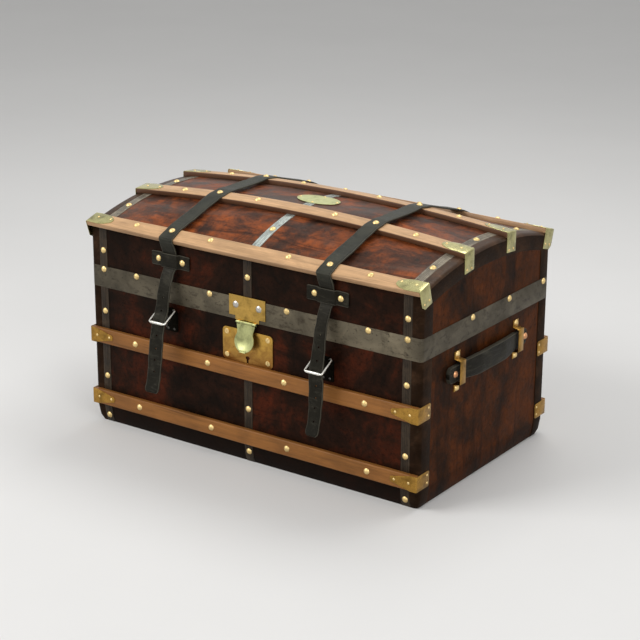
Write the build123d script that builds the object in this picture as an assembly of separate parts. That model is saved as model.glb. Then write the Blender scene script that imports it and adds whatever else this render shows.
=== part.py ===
from build123d import *
from functools import lru_cache
from math import asin, atan2, cos, pi, radians, sin, sqrt
import os

# Domed leather trunk, in millimetres.
# +X runs along the length, +Z is up and the front faces -Y.
# The origin is on the floor under the middle of the case.

# Case
length = 800.0
depth = 478.0
split_z = 299.0
corner_radius = 8.0
leather = 1.6
board = 10.0
bottom_board = 10.0
lining = 0.8
skirt_inset = 8.0
skirt_step_inset = 3.0
skirt_step_z = 12.0
skirt_z = 35.0
skin_lift = 0.8

# Dome of the lid, an arc across that also rises along the length
lid_wall_height = 132.8
end_rise = 36.1
middle_rise = 58.8
dome_corner = 8.0
dome_board = 8.0
dome_seat_drop = 13.8
dome_seat = 0.1
loft_overhang = 20.0

# Iron band round the lid's rim
band_height = 45.5
band = 1.2

# Thin strips and edge leathers
trim = 1.0
strip_width = 20.0
corner_strip_inset = 31.0
binding_wrap = 35.0
strip_slat_gap = 0.3

# Wooden slats
slat = 11.0
slat_width = 34.0
base_slat_height = 32.0
upper_slat_z = 195.0
lower_slat_z = 58.0
crown_slat_share = 0.33
crown_slat_tilt = 6.5
outer_slat_inset = 4.7
outer_slat_tilt = 18.0

# Brass clamps on the slat ends
clamp = 1.0
clamp_leaf = 58.0
clamp_tip = 20.0
clamp_wing = 33.0
clamp_corner = 4.0
crown_wing_drop = 41.0
outer_wing_drop = 42.0
outer_wing_corner = 8.0
wing_nail_lift = 10.0
clamp_nail_shares = (0.31, 0.87)
wing_nail_share = 0.79

# Nails: domed heads, with a small gap under each so that it doesn't cut its seat
nail_radius = 6.5
nail_height = 3.8
small_radius = 2.6
small_height = 1.3
nail_seat = 0.05
nail_x_inner = 94.0
nail_x_outer = 282.0
lower_nail_shift = 7.0
strip_nails_base = (247.6, 105.0, 16.0)
strip_nail_lid_z = 378.5
band_nail_z = 338.0
centre_nails_base = (115.0, 24.0)
centre_nail_lid_z = 389.0
band_end_nail_shares = (-0.247, 0.339, 0.916)
rear_band_nail_x = 215.0

# Straps over the lid
strap_spacing = 381.0
strap = 3.2
strap_width = 36.0
strap_end_width = 33.0
strap_rear_z = 385.0
strap_wall_gap = 0.3
strap_bend = 12.0
strap_edge_bend = 2.2
strap_edge_gap = 0.6
strap_lap = 8.0
strap_joint_z = 293.0
strap_joint_gap = 0.6
strap_tip_width = 27.0
strap_tip_length = 14.0
strap_hole_radius = 2.0
strap_hole_pitch = 24.0
strap_hole_start = 0.4
strap_end_runs = 5

# Keepers that hold the straps against the lid's front
keeper_width = 96.0
keeper_height = 29.0
keeper_z = 389.0
keeper = 3.0
keeper_clearance = 0.4
keeper_nail_x = 30.0

# Buckles
buckle_width = 44.0
buckle_length = 40.0
buckle_wire = 2.0
buckle_tilt = 30.5
buckle_standoff = 15.0
roller_bar = 1.7
roller_radius = 2.9
roller_length = 30.0
roller_fit = 0.08
roller_gap = 1.2
chape_width = 30.0
chape_radius = 4.6
chape = 4.0
chape_drop = 50.0
chape_slant = 14.0
chape_run_share = 0.6
prong_radius = 1.5
prong_sleeve = 3.4
prong_width = 6.0
prong_length = 38.0
prong_lean = 5.0
prong_slot_gap = 0.8
pivot_fit = 0.08

# Left and right strap: height of the buckle's hinge bar, how far the strap stands off
# at the joint below the band, and the height of its tip
left_strap = {"side": -1, "bar_z": 291.0, "joint_off": 31.4, "tip_z": 131.0}
right_strap = {"side": 1, "bar_z": 269.0, "joint_off": 29.5, "tip_z": 122.0}

# Hasp on the lid
hasp_plate = 1.5
hasp_plate_width = 88.0
hasp_plate_top_z = 349.0
hasp_plate_foot_z = 307.0
hasp_tab_width = 58.0
hasp_knuckle = 3.0
hasp_knuckle_width = 48.0
hasp_leaf_knuckle_width = 30.0
hasp_knuckle_gap = 0.3
hasp_pin = 1.3
hasp_axis_z = 296.5
hasp_axis_off = 5.2
hasp_leaf = 2.0
hasp_leaf_width = 44.0
hasp_waist = 38.0
hasp_disc_radius = 23.0
hasp_disc_drop = 36.0
hasp_neck_share = 0.82
hasp_lean = 12.0
hasp_lip = 2.0
staple_drop = 44.0
staple_width = 3.0
staple_height = 9.0
staple_reach = 10.7
staple_eye_reach = 8.2
staple_eye_radius = 2.1
hasp_rivet_x = 28.0
hasp_rivet_z = 329.4
rivet_radius = 7.0
rivet_height = 3.0

# Lock in the front board
lock_plate = 2.0
lock_plate_width = 122.0
lock_plate_top_z = 279.5
lock_plate_corner = 9.0
lock_screw_x = 50.0
lock_screw_top_z = 270.0
lock_screw_low_z = 222.0
lock_screw_radius = 5.4
lock_case_width = 64.0
lock_case_z = (208.0, 266.0)
lock_case_wall = 1.2
slot_clearance = 2.2
bolt_width = 2.6
bolt_length = 24.0
bolt_body = 6.0
bolt_fit = 0.15
bolt_gap = 1.0
bolt_travel = 8.0
keyhole_x = 0.0
keyhole_z = 223.0
keyhole_radius = 3.6
keyhole_slot = 3.2
keyhole_length = 11.0

# Hinges at the back
hinge_x = 280.0
hinge_pin = 1.6
hinge_knuckle = 4.0
hinge_knuckle_length = 16.0
hinge_knuckle_gap = 0.3
hinge_knuckle_count = 3
hinge_base_leaf = 2.0
hinge_lid_leaf = 1.6
hinge_leaf_height = 38.0
hinge_band_gap = 0.4
hinge_sweep_gap = 0.6
hinge_nail_share = 0.7

# Handles on both ends
handle_z = 245.0
handle_loop_y = 112.0
handle_loop_width = 20.0
handle_loop = 1.2
handle_nail_spacing = 68.0
handle_leather = 8.0
handle_height = 42.0
handle_end_height = 32.0
handle_tail = 8.0
handle_front_tail = 22.0
handle_gap = 0.3
handle_bow = 8.0
handle_bow_share = 0.75
handle_bend_share = 0.4
handle_tip_share = 0.6
handle_slide = 9.0
handle_stud_radius = 7.0
handle_stud_height = 4.0
handle_stud_gap = 0.5
handle_loop_clearance = 5.0
handle_loop_span = 50.0

# Blank oval plate on the crown
plaque_length = 100.0
plaque_width = 55.0
plaque = 0.8

half_length = length / 2
half_depth = depth / 2
band_top_z = split_z + band_height
lid_edge_z = split_z + lid_wall_height
dome_seat_z = lid_edge_z - dome_seat_drop
lid_wall_top_z = lid_edge_z - dome_corner
corner_strip_x = half_length - corner_strip_inset
binding_x = corner_strip_x + strip_width / 2
crown_slat_y = half_depth * crown_slat_share
outer_slat_y = half_depth - outer_slat_inset
high = lid_edge_z + middle_rise + slat + strap + loft_overhang
signs = (-1, 1)
corners = [(a, b) for a in signs for b in signs]


def block(x0, x1, y0, y1, z0, z1):
    """Box between two corners."""
    size = Box(abs(x1 - x0), abs(y1 - y0), abs(z1 - z0))
    return Pos((x0 + x1) / 2, (y0 + y1) / 2, (z0 + z1) / 2) * size


def slab_x(points, x0, x1):
    """Outline of (y, z) points, as thick as the stretch from x0 to x1."""
    face = make_face(Polyline(*[(min(x0, x1), y, z) for y, z in points], close=True))
    return extrude(face, amount=abs(x1 - x0), dir=(1, 0, 0))


def slab_y(points, y0, y1):
    """Outline of (x, z) points, as thick as the stretch from y0 to y1."""
    face = make_face(Polyline(*[(x, min(y0, y1), z) for x, z in points], close=True))
    return extrude(face, amount=abs(y1 - y0), dir=(0, 1, 0))


def rod_x(x, y, z, radius, width):
    """Round bar along X, centred on x."""
    return Pos(x, y, z) * Rot(0, 90, 0) * Cylinder(radius, width)


def rod_y(x, y0, y1, z, radius):
    """Round bar along Y from y0 to y1."""
    return Pos(x, (y0 + y1) / 2, z) * Rot(90, 0, 0) * Cylinder(radius, abs(y1 - y0))


def head(radius, height):
    """Domed head standing on the XY plane."""
    sphere = (radius ** 2 + height ** 2) / (2 * height)
    ball = Pos(0, 0, height - sphere) * Sphere(sphere)
    return ball & Pos(0, 0, height / 2) * Cylinder(radius * 1.01, height)


big_head = head(nail_radius, nail_height)
small_head = head(small_radius, small_height)
rivet_head = head(rivet_radius, rivet_height)
screw_head = head(lock_screw_radius, nail_height)
stud_head = head(handle_stud_radius, handle_stud_height)


def seat(shape, x, y, z, normal):
    """A head standing on the surface at a point, with its seat gap."""
    place = Plane(origin=(x, y, z), z_dir=normal)
    return place.location * Pos(0, 0, nail_seat) * shape


def write(name, pieces):
    """One STEP file for a node, made of one or more solids."""
    solids = [solid for piece in pieces for solid in piece.solids()]
    export_step(Compound(children=solids), f"parts/{name}.step")


# Master shapes of the lid
def dome_arc(x):
    """Radius and centre height of the leather's arc at a place along the length."""
    rise = end_rise + (middle_rise - end_rise) * (1 - (x / half_length) ** 2)
    radius = (half_depth ** 2 + rise ** 2) / (2 * rise)
    return radius, lid_edge_z + rise - radius


def dome_z(x, y, offset):
    """Height of the surface that stands off the leather by the offset."""
    radius, centre = dome_arc(x)
    return centre + sqrt((radius + offset) ** 2 - y ** 2)


def dome_tilt(x, y, offset):
    """Angle of that surface from level, across the trunk."""
    radius, _ = dome_arc(x)
    return asin(y / (radius + offset))


def dome_normal(x, y, offset):
    """Outward direction of that surface."""
    step = dome_corner
    slope = (dome_z(x + step, y, offset) - dome_z(x - step, y, offset)) / (2 * step)
    tilt = dome_tilt(x, y, offset)
    return (-slope * cos(tilt), sin(tilt), cos(tilt))


stations = [f * (half_length + loft_overhang) for f in (-1, -0.5, 0, 0.5, 1)]


def arch_wire(x, offset, reach):
    """Section across the trunk under the offset arc, with plain corners."""
    edge = dome_z(x, reach, offset)
    low = [(x, -reach, split_z), (x, reach, split_z)]
    top = ThreePointArc((x, reach, edge), (x, 0, dome_z(x, 0, offset)), (x, -reach, edge))
    return Wire([Line(*low), Line(low[1], (x, reach, edge)), top, Line((x, -reach, edge), low[0])])


@lru_cache(maxsize=None)
def arch(offset, reach):
    """Everything under the offset arc out to the reach, with plain corners."""
    return Solid.make_loft([arch_wire(x, offset, reach) for x in stations])


def round_wire(x, offset):
    """Section of the lid at an offset from its leather, with round top corners."""
    radius, centre = dome_arc(x)
    middle_y = half_depth - dome_corner
    middle_z = centre + sqrt((radius - dome_corner) ** 2 - middle_y ** 2)
    bend = dome_corner + offset
    reach = half_depth + offset
    tilt = atan2(middle_y, middle_z - centre)
    meet = (middle_y + bend * sin(tilt), middle_z + bend * cos(tilt))
    half_tilt = (pi / 2 + tilt) / 2
    mid = (middle_y + bend * sin(half_tilt), middle_z + bend * cos(half_tilt))
    points = {
        "low": (reach, split_z),
        "side": (reach, middle_z),
        "mid": mid,
        "meet": meet,
    }
    right = {name: (x, y, z) for name, (y, z) in points.items()}
    left = {name: (x, -y, z) for name, (y, z) in points.items()}
    crown_top = (x, 0, centre + radius + offset)
    return Wire([
        Line(left["low"], right["low"]),
        Line(right["low"], right["side"]),
        ThreePointArc(right["side"], right["mid"], right["meet"]),
        ThreePointArc(right["meet"], crown_top, left["meet"]),
        ThreePointArc(left["meet"], left["mid"], left["side"]),
        Line(left["side"], left["low"]),
    ])


def plan(offset, z0, z1):
    """Upright prism over the trunk's outline at an offset, with round corners."""
    outline = RectangleRounded(length + 2 * offset, depth + 2 * offset, corner_radius + offset)
    return Pos(0, 0, z0) * extrude(outline, amount=z1 - z0)


def corner_waste(offset, z1):
    """What an upright corner of the lid loses when it is rounded."""
    x = half_length - corner_radius
    y = half_depth - corner_radius
    middle_z = (split_z + z1) / 2
    bend = corner_radius + offset
    tools = []
    for a, b in corners:
        waste = block(a * x, a * (length + bend), b * y, b * (depth + bend), 0, z1)
        tools.append(waste - Pos(a * x, b * y, middle_z) * Cylinder(bend, 2 * z1))
    return tools


@lru_cache(maxsize=None)
def lid_form(offset):
    """The lid's whole outside at an offset from its leather."""
    body = Solid.make_loft([round_wire(x, offset) for x in stations])
    end = half_length + offset
    return (body & block(-end, end, -depth, depth, 0, high)) - corner_waste(offset, high)


def outline_wire(inset, z, radius):
    """Round-cornered outline of the case at a height."""
    outline = Pos(0, 0, z) * RectangleRounded(length - 2 * inset, depth - 2 * inset, radius)
    return outline.wires()[0]


@lru_cache(maxsize=None)
def base_form(offset):
    """The case below the lid at an offset from its leather, drawn in at the foot."""
    levels = [(0, skirt_inset), (skirt_step_z, skirt_step_inset), (skirt_z, 0), (split_z, 0)]
    radius = corner_radius + offset
    wires = [outline_wire(inset - offset, z, radius) for z, inset in levels]
    return Solid.make_loft(wires, ruled=True)


inner_x = half_length - leather - board
inner_y = half_depth - leather - board
rear_hinge_y = half_depth + band + hinge_band_gap + hinge_knuckle
front = -half_depth


# Slats
def lid_slat_prism(centre_y, tilt, width):
    """Leaning prism that a lid slat is cut from, on either side of the middle."""
    side = 1 if centre_y > 0 else -1
    tall = 3 * (middle_rise + slat)
    foot = dome_z(half_length, centre_y, 0)
    size = Box(length + 4 * loft_overhang, width, tall)
    return Pos(0, centre_y, foot) * Rot(-side * tilt, 0, 0) * size


def outer_slat_edge(x, offset):
    """Outer edge of an outer slat on the surface at an offset, as (y, z) for the back."""
    radius, centre = dome_arc(x)
    lean = radians(outer_slat_tilt)
    y = outer_slat_y + slat_width / (2 * cos(lean))
    z = dome_z(half_length, outer_slat_y, 0) - centre
    along = y * sin(lean) + z * cos(lean)
    run = sqrt(along ** 2 - y ** 2 - z ** 2 + (radius + offset) ** 2) - along
    return y + run * sin(lean), centre + z + run * cos(lean)


slat_rows = [(side * y, tilt) for y, tilt in ((crown_slat_y, crown_slat_tilt),
                                              (outer_slat_y, outer_slat_tilt)) for side in signs]
wide_reach = half_depth + 2 * slat
slat_end_x = half_length + trim


def lid_slat(centre_y, tilt):
    """A slat along the dome."""
    layer = arch(slat, wide_reach) - arch(dome_seat, wide_reach)
    span = block(-slat_end_x, slat_end_x, -depth, depth, split_z, high)
    return layer & lid_slat_prism(centre_y, tilt, slat_width) & span


lid_slats = {row[0]: lid_slat(*row) for row in slat_rows}


def base_slat(side, z):
    """A slat along the front or the back of the case."""
    low = z - base_slat_height / 2
    face = side * half_depth
    return block(-slat_end_x, slat_end_x, face, face + side * slat, low, low + base_slat_height)


base_slats = {(side, z): base_slat(side, z) for side in signs for z in (upper_slat_z, lower_slat_z)}
all_base_slats = Compound(children=[s for body in base_slats.values() for s in body.solids()])


# Case boards, leather and lining
def make_case():
    """Boards, leather cover and lining below the split."""
    shell = base_form(-leather)
    floor_slab = block(-length, length, -depth, depth, 0, bottom_board)
    above = block(-length, length, -depth, depth, bottom_board, split_z)
    write("base_bottom_board", [shell & floor_slab])
    walls = shell & above
    mortise = lock_mortise()
    for side, name in ((-1, "base_front_board"), (1, "base_rear_board")):
        y0, y1 = sorted((side * inner_y, side * depth))
        wall = walls & block(-length, length, y0, y1, 0, split_z)
        write(name, [wall - mortise if side < 0 else wall])
    for side, name in ((-1, "base_end_board_left"), (1, "base_end_board_right")):
        x0, x1 = sorted((side * inner_x, side * length))
        write(name, [walls & block(x0, x1, -inner_y, inner_y, 0, split_z)])
    cover = base_form(0) - shell - block(-length, length, -depth, depth, 0, skin_lift)
    write("base_leather", [cover - mortise])
    inside = block(-inner_x, inner_x, -inner_y, inner_y, bottom_board, split_z)
    room = block(-inner_x + lining, inner_x - lining, -inner_y + lining, inner_y - lining,
                 bottom_board + lining, split_z)
    write("base_lining", [inside - room])


def make_lid_shell():
    """Boards, dome, leather cover and lining above the split."""
    shell = lid_form(-leather)
    hollow = arch(-leather - dome_board, inner_y)
    below_seat = block(-length, length, -depth, depth, split_z, dome_seat_z)
    walls = shell & below_seat
    for side, name in ((-1, "lid_front_board"), (1, "lid_rear_board")):
        y0, y1 = sorted((side * inner_y, side * depth))
        write(name, [walls & block(-length, length, y0, y1, 0, high)])
    outer_x = half_length - leather
    for side, name in ((-1, "lid_end_board_left"), (1, "lid_end_board_right")):
        x0, x1 = sorted((side * inner_x, side * outer_x))
        write(name, [hollow & block(x0, x1, -inner_y, inner_y, 0, high)])
    write("lid_dome_board", [shell - below_seat - hollow])
    write("lid_leather", [lid_form(0) - shell])
    inside = hollow & block(-inner_x, inner_x, -inner_y, inner_y, 0, high)
    room = arch(-leather - dome_board - lining, inner_y - lining)
    span = inner_x - lining
    write("lid_lining", [inside - (room & block(-span, span, -depth, depth, 0, high))])


# Band, strips and edge leathers
def on_dome(x0, x1, offset, thickness):
    """Thin layer over the dome for a stretch of its length, open where the slats lie."""
    layer = arch(offset + thickness, outer_slat_y) - arch(offset, outer_slat_y)
    slats = [lid_slat_prism(*row, slat_width + 2 * strip_slat_gap) for row in slat_rows]
    return (layer & block(x0, x1, -depth, depth, lid_wall_top_z, high)) - slats


def wall_strips(x):
    """Flat strips up the front and the back of the lid at a place along the length."""
    half = strip_width / 2
    return [block(x - half, x + half, side * half_depth, side * (half_depth + trim),
                  band_top_z, lid_wall_top_z) for side in signs]


def make_lid_trim():
    """Iron band, end strips, centre strip, edge leathers and oval plate on the lid."""
    write("lid_band", [plan(band, split_z, band_top_z) - plan(0, split_z, band_top_z)])
    half = strip_width / 2
    strips = []
    for x in (-corner_strip_x, corner_strip_x):
        strips += [on_dome(x - half, x + half, dome_seat, trim)] + wall_strips(x)
    write("lid_end_strips", strips)
    centre = on_dome(-half, half, dome_seat, trim)
    write("lid_centre_strip", [centre] + wall_strips(0))
    write("lid_edge_leathers", [piece for end in signs for piece in lid_edge_leather(end)])
    oval = extrude(Ellipse(plaque_length / 2, plaque_width / 2), amount=high)
    low = 2 * dome_seat + trim
    write("plaque", [(arch(low + plaque, half_depth) - arch(low, half_depth)) & oval])


def lid_edge_leather(end):
    """Edge leathers at one end of the lid: over the dome's edge, its rim and both corners."""
    outer_x = end * (half_length + trim)
    x0, x1 = sorted((end * binding_x, outer_x))
    top = on_dome(x0, x1, dome_seat, trim)
    wrap_y = half_depth - binding_wrap
    face_x0, face_x1 = sorted((end * half_length, outer_x))
    face = block(face_x0, face_x1, -wrap_y, wrap_y, band_top_z, high)
    window = Pos(0, 0, -binding_wrap) * arch(0, half_depth)
    rim = (face & arch(0, half_depth)) - window
    ring = plan(trim, band_top_z, high) - plan(0, band_top_z, high)
    posts = [ring & block(x0, x1, side * wrap_y, side * depth, band_top_z, lid_wall_top_z)
             for side in signs]
    return [top, rim] + posts


def make_base_trim():
    """Corner strips, centre strips and edge leathers on the case."""
    above_floor = block(-length, length, -depth, depth, trim, split_z)
    layer = ((base_form(trim) - base_form(0)) & above_floor) - all_base_slats
    half_strip = strip_width / 2
    faces = [block(-length, length, side * inner_y, side * depth, 0, split_z) for side in signs]
    strips = [layer & block(x - half_strip, x + half_strip, -depth, depth, 0, split_z) & face
              for x in (-corner_strip_x, corner_strip_x) for face in faces]
    write("base_corner_strips", strips)
    low = upper_slat_z - base_slat_height / 2
    centre = [layer & block(-half_strip, half_strip, -depth, depth, 0, low) & face for face in faces]
    write("base_centre_strips", centre)
    wrap_y = half_depth - binding_wrap
    bindings = [layer & block(a * binding_x, a * length, b * wrap_y, b * depth, 0, split_z)
                for a, b in corners]
    write("base_edge_leathers", bindings)


# Clamps
def base_clamp(end, side, z):
    """Brass cap on the end of a case slat: a leaf on its face and a wing on the end panel."""
    half = base_slat_height / 2 + clamp / 2
    face = side * (half_depth + slat)
    outer_x = slat_end_x + clamp
    leaf_x = outer_x - clamp_leaf
    shoulder_x = leaf_x + clamp_leaf / 2
    half_tip = clamp_tip / 2
    leaf = [(outer_x, z - half), (outer_x, z + half), (shoulder_x, z + half), (leaf_x, z + half_tip),
            (leaf_x, z - half_tip), (shoulder_x, z - half)]
    front_leaf = slab_y([(end * x, h) for x, h in leaf], face, face + side * clamp)
    near = half_depth + slat + clamp
    far = near - clamp_wing - slat
    blunt = half - clamp_corner
    wing = [(near, z - half), (near, z + half), (far + clamp_corner, z + half), (far, z + blunt),
            (far, z - blunt), (far + clamp_corner, z - half)]
    end_wing = slab_x([(side * y, h) for y, h in wing], end * slat_end_x, end * outer_x)
    return front_leaf + end_wing


def on_outer_wing(a, up):
    """Place on an outer clamp's wing, across its slat and up from the slat's foot, as (y, z)."""
    lean = radians(outer_slat_tilt)
    foot = dome_z(half_length, outer_slat_y, 0)
    return outer_slat_y + a * cos(lean) + up * sin(lean), foot - a * sin(lean) + up * cos(lean)


def lid_clamp(end, centre_y, tilt):
    """Brass cap on the end of a lid slat: a leaf on its top and a wing down the end panel."""
    side = 1 if centre_y > 0 else -1
    outer_x = slat_end_x + clamp
    x0, x1 = sorted((end * (outer_x - clamp_leaf), end * outer_x))
    top = arch(slat + dome_seat + clamp, wide_reach) - arch(slat + dome_seat, wide_reach)
    prism = lid_slat_prism(centre_y, tilt, slat_width)
    leaf = top & prism & block(x0, x1, -depth, depth, 0, high)
    under = arch(slat + dome_seat + clamp, wide_reach)
    wing_x0, wing_x1 = sorted((end * slat_end_x, end * outer_x))
    wall = block(wing_x0, wing_x1, -depth, depth, 0, high)
    upper = (under - arch(0, wide_reach)) & prism & wall
    middle = abs(centre_y)
    top_z = dome_z(half_length, middle, 0)
    half = slat_width / 2 - clamp
    if middle == crown_slat_y:
        low_z = top_z + slat - crown_wing_drop
        shape = [(middle - half, top_z + slat), (middle - half, low_z), (middle + half, low_z),
                 (middle + half, top_z + slat)]
    else:
        low = slat - outer_wing_drop
        shape = [on_outer_wing(a, up) for a, up in (
            (-half, slat), (-half, low), (half - outer_wing_corner, low), (half, low + outer_wing_corner),
            (half, slat))]
    lower = slab_x([(side * y, z) for y, z in shape], wing_x0, wing_x1) & arch(slat, wide_reach)
    return leaf + upper + lower


def make_slats_and_clamps():
    """Slats and the brass caps on their ends."""
    write("lid_slats_crown", [lid_slats[side * crown_slat_y] for side in signs])
    write("lid_slats_outer", [lid_slats[side * outer_slat_y] for side in signs])
    write("lid_slat_clamps", [lid_clamp(end, *row) for end in signs for row in slat_rows])
    write("base_slats_front", [base_slats[-1, z] for z in (upper_slat_z, lower_slat_z)])
    write("base_slats_rear", [base_slats[1, z] for z in (upper_slat_z, lower_slat_z)])
    clamps = [base_clamp(end, side, z) for end in signs for side, z in base_slats]
    write("base_slat_clamps", clamps)


# Straps and buckles
def strap_x(spec):
    """Middle of a strap along the length."""
    return spec["side"] * strap_spacing / 2


def bar_place(spec):
    """Buckle's hinge bar, as (y, z)."""
    return front - buckle_standoff, spec["bar_z"]


def roller_place(spec):
    """Buckle's roller bar, as (y, z)."""
    y, z = bar_place(spec)
    tilt = radians(buckle_tilt)
    return y - buckle_length * cos(tilt), z - buckle_length * sin(tilt)


def ribbon(points, x, width, thickness, bend):
    """Flat strip of a width along X that follows (y, z) points, with round bends."""
    path = FilletPolyline(*[(x, y, z) for y, z in points], radius=bend)
    start = Plane(origin=path @ 0, x_dir=(1, 0, 0), z_dir=path % 0)
    return sweep(start * Rectangle(width, thickness), path)


def joint_place(spec):
    """Where a strap bends below the band, as (y, z)."""
    return front - spec["joint_off"], strap_joint_z


def around_slat(x):
    """Middle of a strap where it leaves the dome and rounds the outer slat, for the back."""
    mid = strap / 2
    low = slat + dome_seat
    top_y, top_z = outer_slat_edge(x, slat)
    foot_y, foot_z = outer_slat_edge(x, 0)
    start_y = top_y - strap_lap
    start = (start_y, dome_z(x, start_y, low + mid))
    off = mid + strap_edge_gap
    above = mid + dome_seat
    tilt = dome_tilt(x, top_y, slat)
    turn = tilt - radians(outer_slat_tilt)
    beyond = (off - above * sin(turn)) / cos(turn)
    corner_y = top_y + above * sin(tilt) + beyond * cos(tilt)
    corner_z = top_z + above * cos(tilt) - beyond * sin(tilt)
    return [start, (corner_y, corner_z), (foot_y + off, foot_z)]


def lid_strap(spec):
    """Strap fixed to the lid, from its rear wall over the slats to the bend."""
    x = strap_x(spec)
    half = strap_width / 2
    lead = around_slat(x)
    reach = lead[0][0] + strap
    span = block(x - half, x + half, -reach, reach, split_z, high)
    low = slat + dome_seat
    over = (arch(low + strap, wide_reach) - arch(low, wide_reach)) & span
    mid = strap / 2
    wall = half_depth + strap_wall_gap + mid
    keeper_top = keeper_z + keeper_height / 2
    keeper_low = keeper_z - keeper_height / 2
    joint_y, joint_z = joint_place(spec)
    end_z = joint_z + mid + strap_joint_gap
    edge_bends = [strap_edge_bend, strap_edge_bend, strap_bend]
    front_path = [(-y, z) for y, z in lead] + [(-wall, keeper_top), (-wall, keeper_low), (joint_y, end_z)]
    down_front = ribbon(front_path, x, strap_width, strap, edge_bends + [strap_bend])
    rear_path = lead + [(wall, keeper_top), (wall, strap_rear_z - keeper_height)]
    down_rear = ribbon(rear_path, x, strap_width, strap, edge_bends)
    return over + down_front + down_rear


def strap_end(spec):
    """Free end of a strap, through its buckle and down to the tip."""
    x = strap_x(spec)
    joint_y, joint_z = joint_place(spec)
    roller_y, roller_z = roller_place(spec)
    middle_y = roller_y + roller_radius + roller_gap + strap / 2
    swing = rear_hinge_y - joint_y
    below = split_z - joint_z

    def path_y(lift):
        """Where the part of the strap lies that passes the roller after a lift."""
        return middle_y - swing + sqrt(swing ** 2 + below ** 2 - (lift - below) ** 2)

    drop = roller_z - spec["tip_z"]
    lifts = [drop * n / strap_end_runs for n in range(strap_end_runs + 1)]
    points = [(joint_y, joint_z)] + [(path_y(lift), roller_z - lift) for lift in lifts]
    body = ribbon(points, x, strap_end_width, strap, strap_bend)
    knuckle = rod_x(x, joint_y, joint_z, strap / 2, strap_end_width)
    half = strap_end_width / 2
    half_tip = strap_tip_width / 2
    tip = spec["tip_z"]
    outline = [(x - half, joint_z + strap), (x + half, joint_z + strap),
               (x + half, tip + strap_tip_length), (x + half_tip, tip + strap),
               (x + half_tip - strap, tip - strap), (x - half_tip + strap, tip - strap),
               (x - half_tip, tip + strap), (x - half, tip + strap_tip_length)]
    shape = slab_y(outline, front - 2 * buckle_length - buckle_standoff, front)
    count = int((roller_z - tip - strap_tip_length) / strap_hole_pitch)
    holes = [rod_y(x, front - 3 * buckle_length, front, roller_z + strap_hole_pitch * (strap_hole_start - n),
                   strap_hole_radius) for n in range(count)]
    return ((body + knuckle) & shape) - holes


def buckle_frame(spec):
    """Wire frame of a buckle: hinge bar, two arms and the bar that holds the roller."""
    x = strap_x(spec)
    y0, z0 = bar_place(spec)
    y1, z1 = roller_place(spec)
    half = buckle_width / 2 - buckle_wire
    hinge_bar = rod_x(x, y0, z0, buckle_wire, 2 * half)
    front_bar = rod_x(x, y1, z1, roller_bar, 2 * half)
    frame = hinge_bar + front_bar
    for side in signs:
        middle = ((y0 + y1) / 2, (z0 + z1) / 2)
        arm = Pos(x + side * half, *middle) * Rot(buckle_tilt, 0, 0) * Rot(90, 0, 0)
        frame += arm * Cylinder(buckle_wire, buckle_length)
        frame += Pos(x + side * half, y0, z0) * Sphere(buckle_wire)
        frame += Pos(x + side * half, y1, z1) * Sphere(buckle_wire)
    return frame


def buckle_roller(spec):
    """Tube that turns on the buckle's front bar."""
    x = strap_x(spec)
    y, z = roller_place(spec)
    tube = rod_x(x, y, z, roller_radius, roller_length)
    return tube - rod_x(x, y, z, roller_bar + roller_fit, roller_length)


def prong(spec):
    """Tongue of a buckle, hanging behind the strap from the hinge bar."""
    x = strap_x(spec)
    y, z = bar_place(spec)
    bore = rod_x(x, y, z, buckle_wire + pivot_fit, prong_width)
    sleeve = rod_x(x, y, z, prong_sleeve, prong_width)
    arm = Pos(x, y, z) * Rot(-prong_lean, 0, 0) * Pos(0, 0, -prong_length / 2)
    tongue = arm * Cylinder(prong_radius, prong_length)
    return sleeve + tongue - bore


def buckle_chape(spec):
    """Leather loop that holds the hinge bar against the case."""
    x = strap_x(spec)
    y, z = bar_place(spec)
    half = chape_width / 2
    loop = rod_x(x, y, z, chape_radius, chape_width)
    back = front - chape
    foot_z = z - chape_slant
    # The slanting run leaves the underside and the back of the loop
    lean = atan2(chape_slant, back - y)
    half_run = chape_radius * chape_run_share
    across = (half_run * sin(lean), half_run * cos(lean))
    slant = [(y + across[0], z + across[1]), (y - across[0], z - across[1]),
             (back, foot_z - chape_radius), (front, foot_z - chape_radius), (front, foot_z + chape_radius)]
    run = slab_x(slant, x - half, x + half)
    tab = block(x - half, x + half, back, front, z - chape_drop, foot_z)
    bore = rod_x(x, y, z, buckle_wire + pivot_fit, chape_width)
    slot_half = prong_width / 2 + prong_slot_gap
    slot_size = prong_sleeve + prong_slot_gap
    slot = rod_x(x, y, z, slot_size, 2 * slot_half)
    path = block(x - slot_half, x + slot_half, y - 2 * chape_radius, y + prong_radius + prong_slot_gap,
                 z - 2 * chape_radius, z)
    return loop + run + tab - bore - slot - path


def strap_keeper(spec):
    """Leather loop nailed over a strap on the lid's front."""
    x = strap_x(spec)
    low = keeper_z - keeper_height / 2
    half = keeper_width / 2
    inner = strap_width / 2 + keeper_clearance
    room = strap_wall_gap + strap + keeper_clearance
    slope = keeper
    shape = [(-half, 0), (-half, keeper), (-inner - slope, keeper), (-inner, room + keeper),
             (inner, room + keeper), (inner + slope, keeper), (half, keeper), (half, 0),
             (inner + keeper_clearance, 0), (inner, room), (-inner, room), (-inner - keeper_clearance, 0)]
    points = [(x + a, front - b, low) for a, b in shape]
    return extrude(make_face(Polyline(*points, close=True)), amount=keeper_height, dir=(0, 0, 1))


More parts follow.
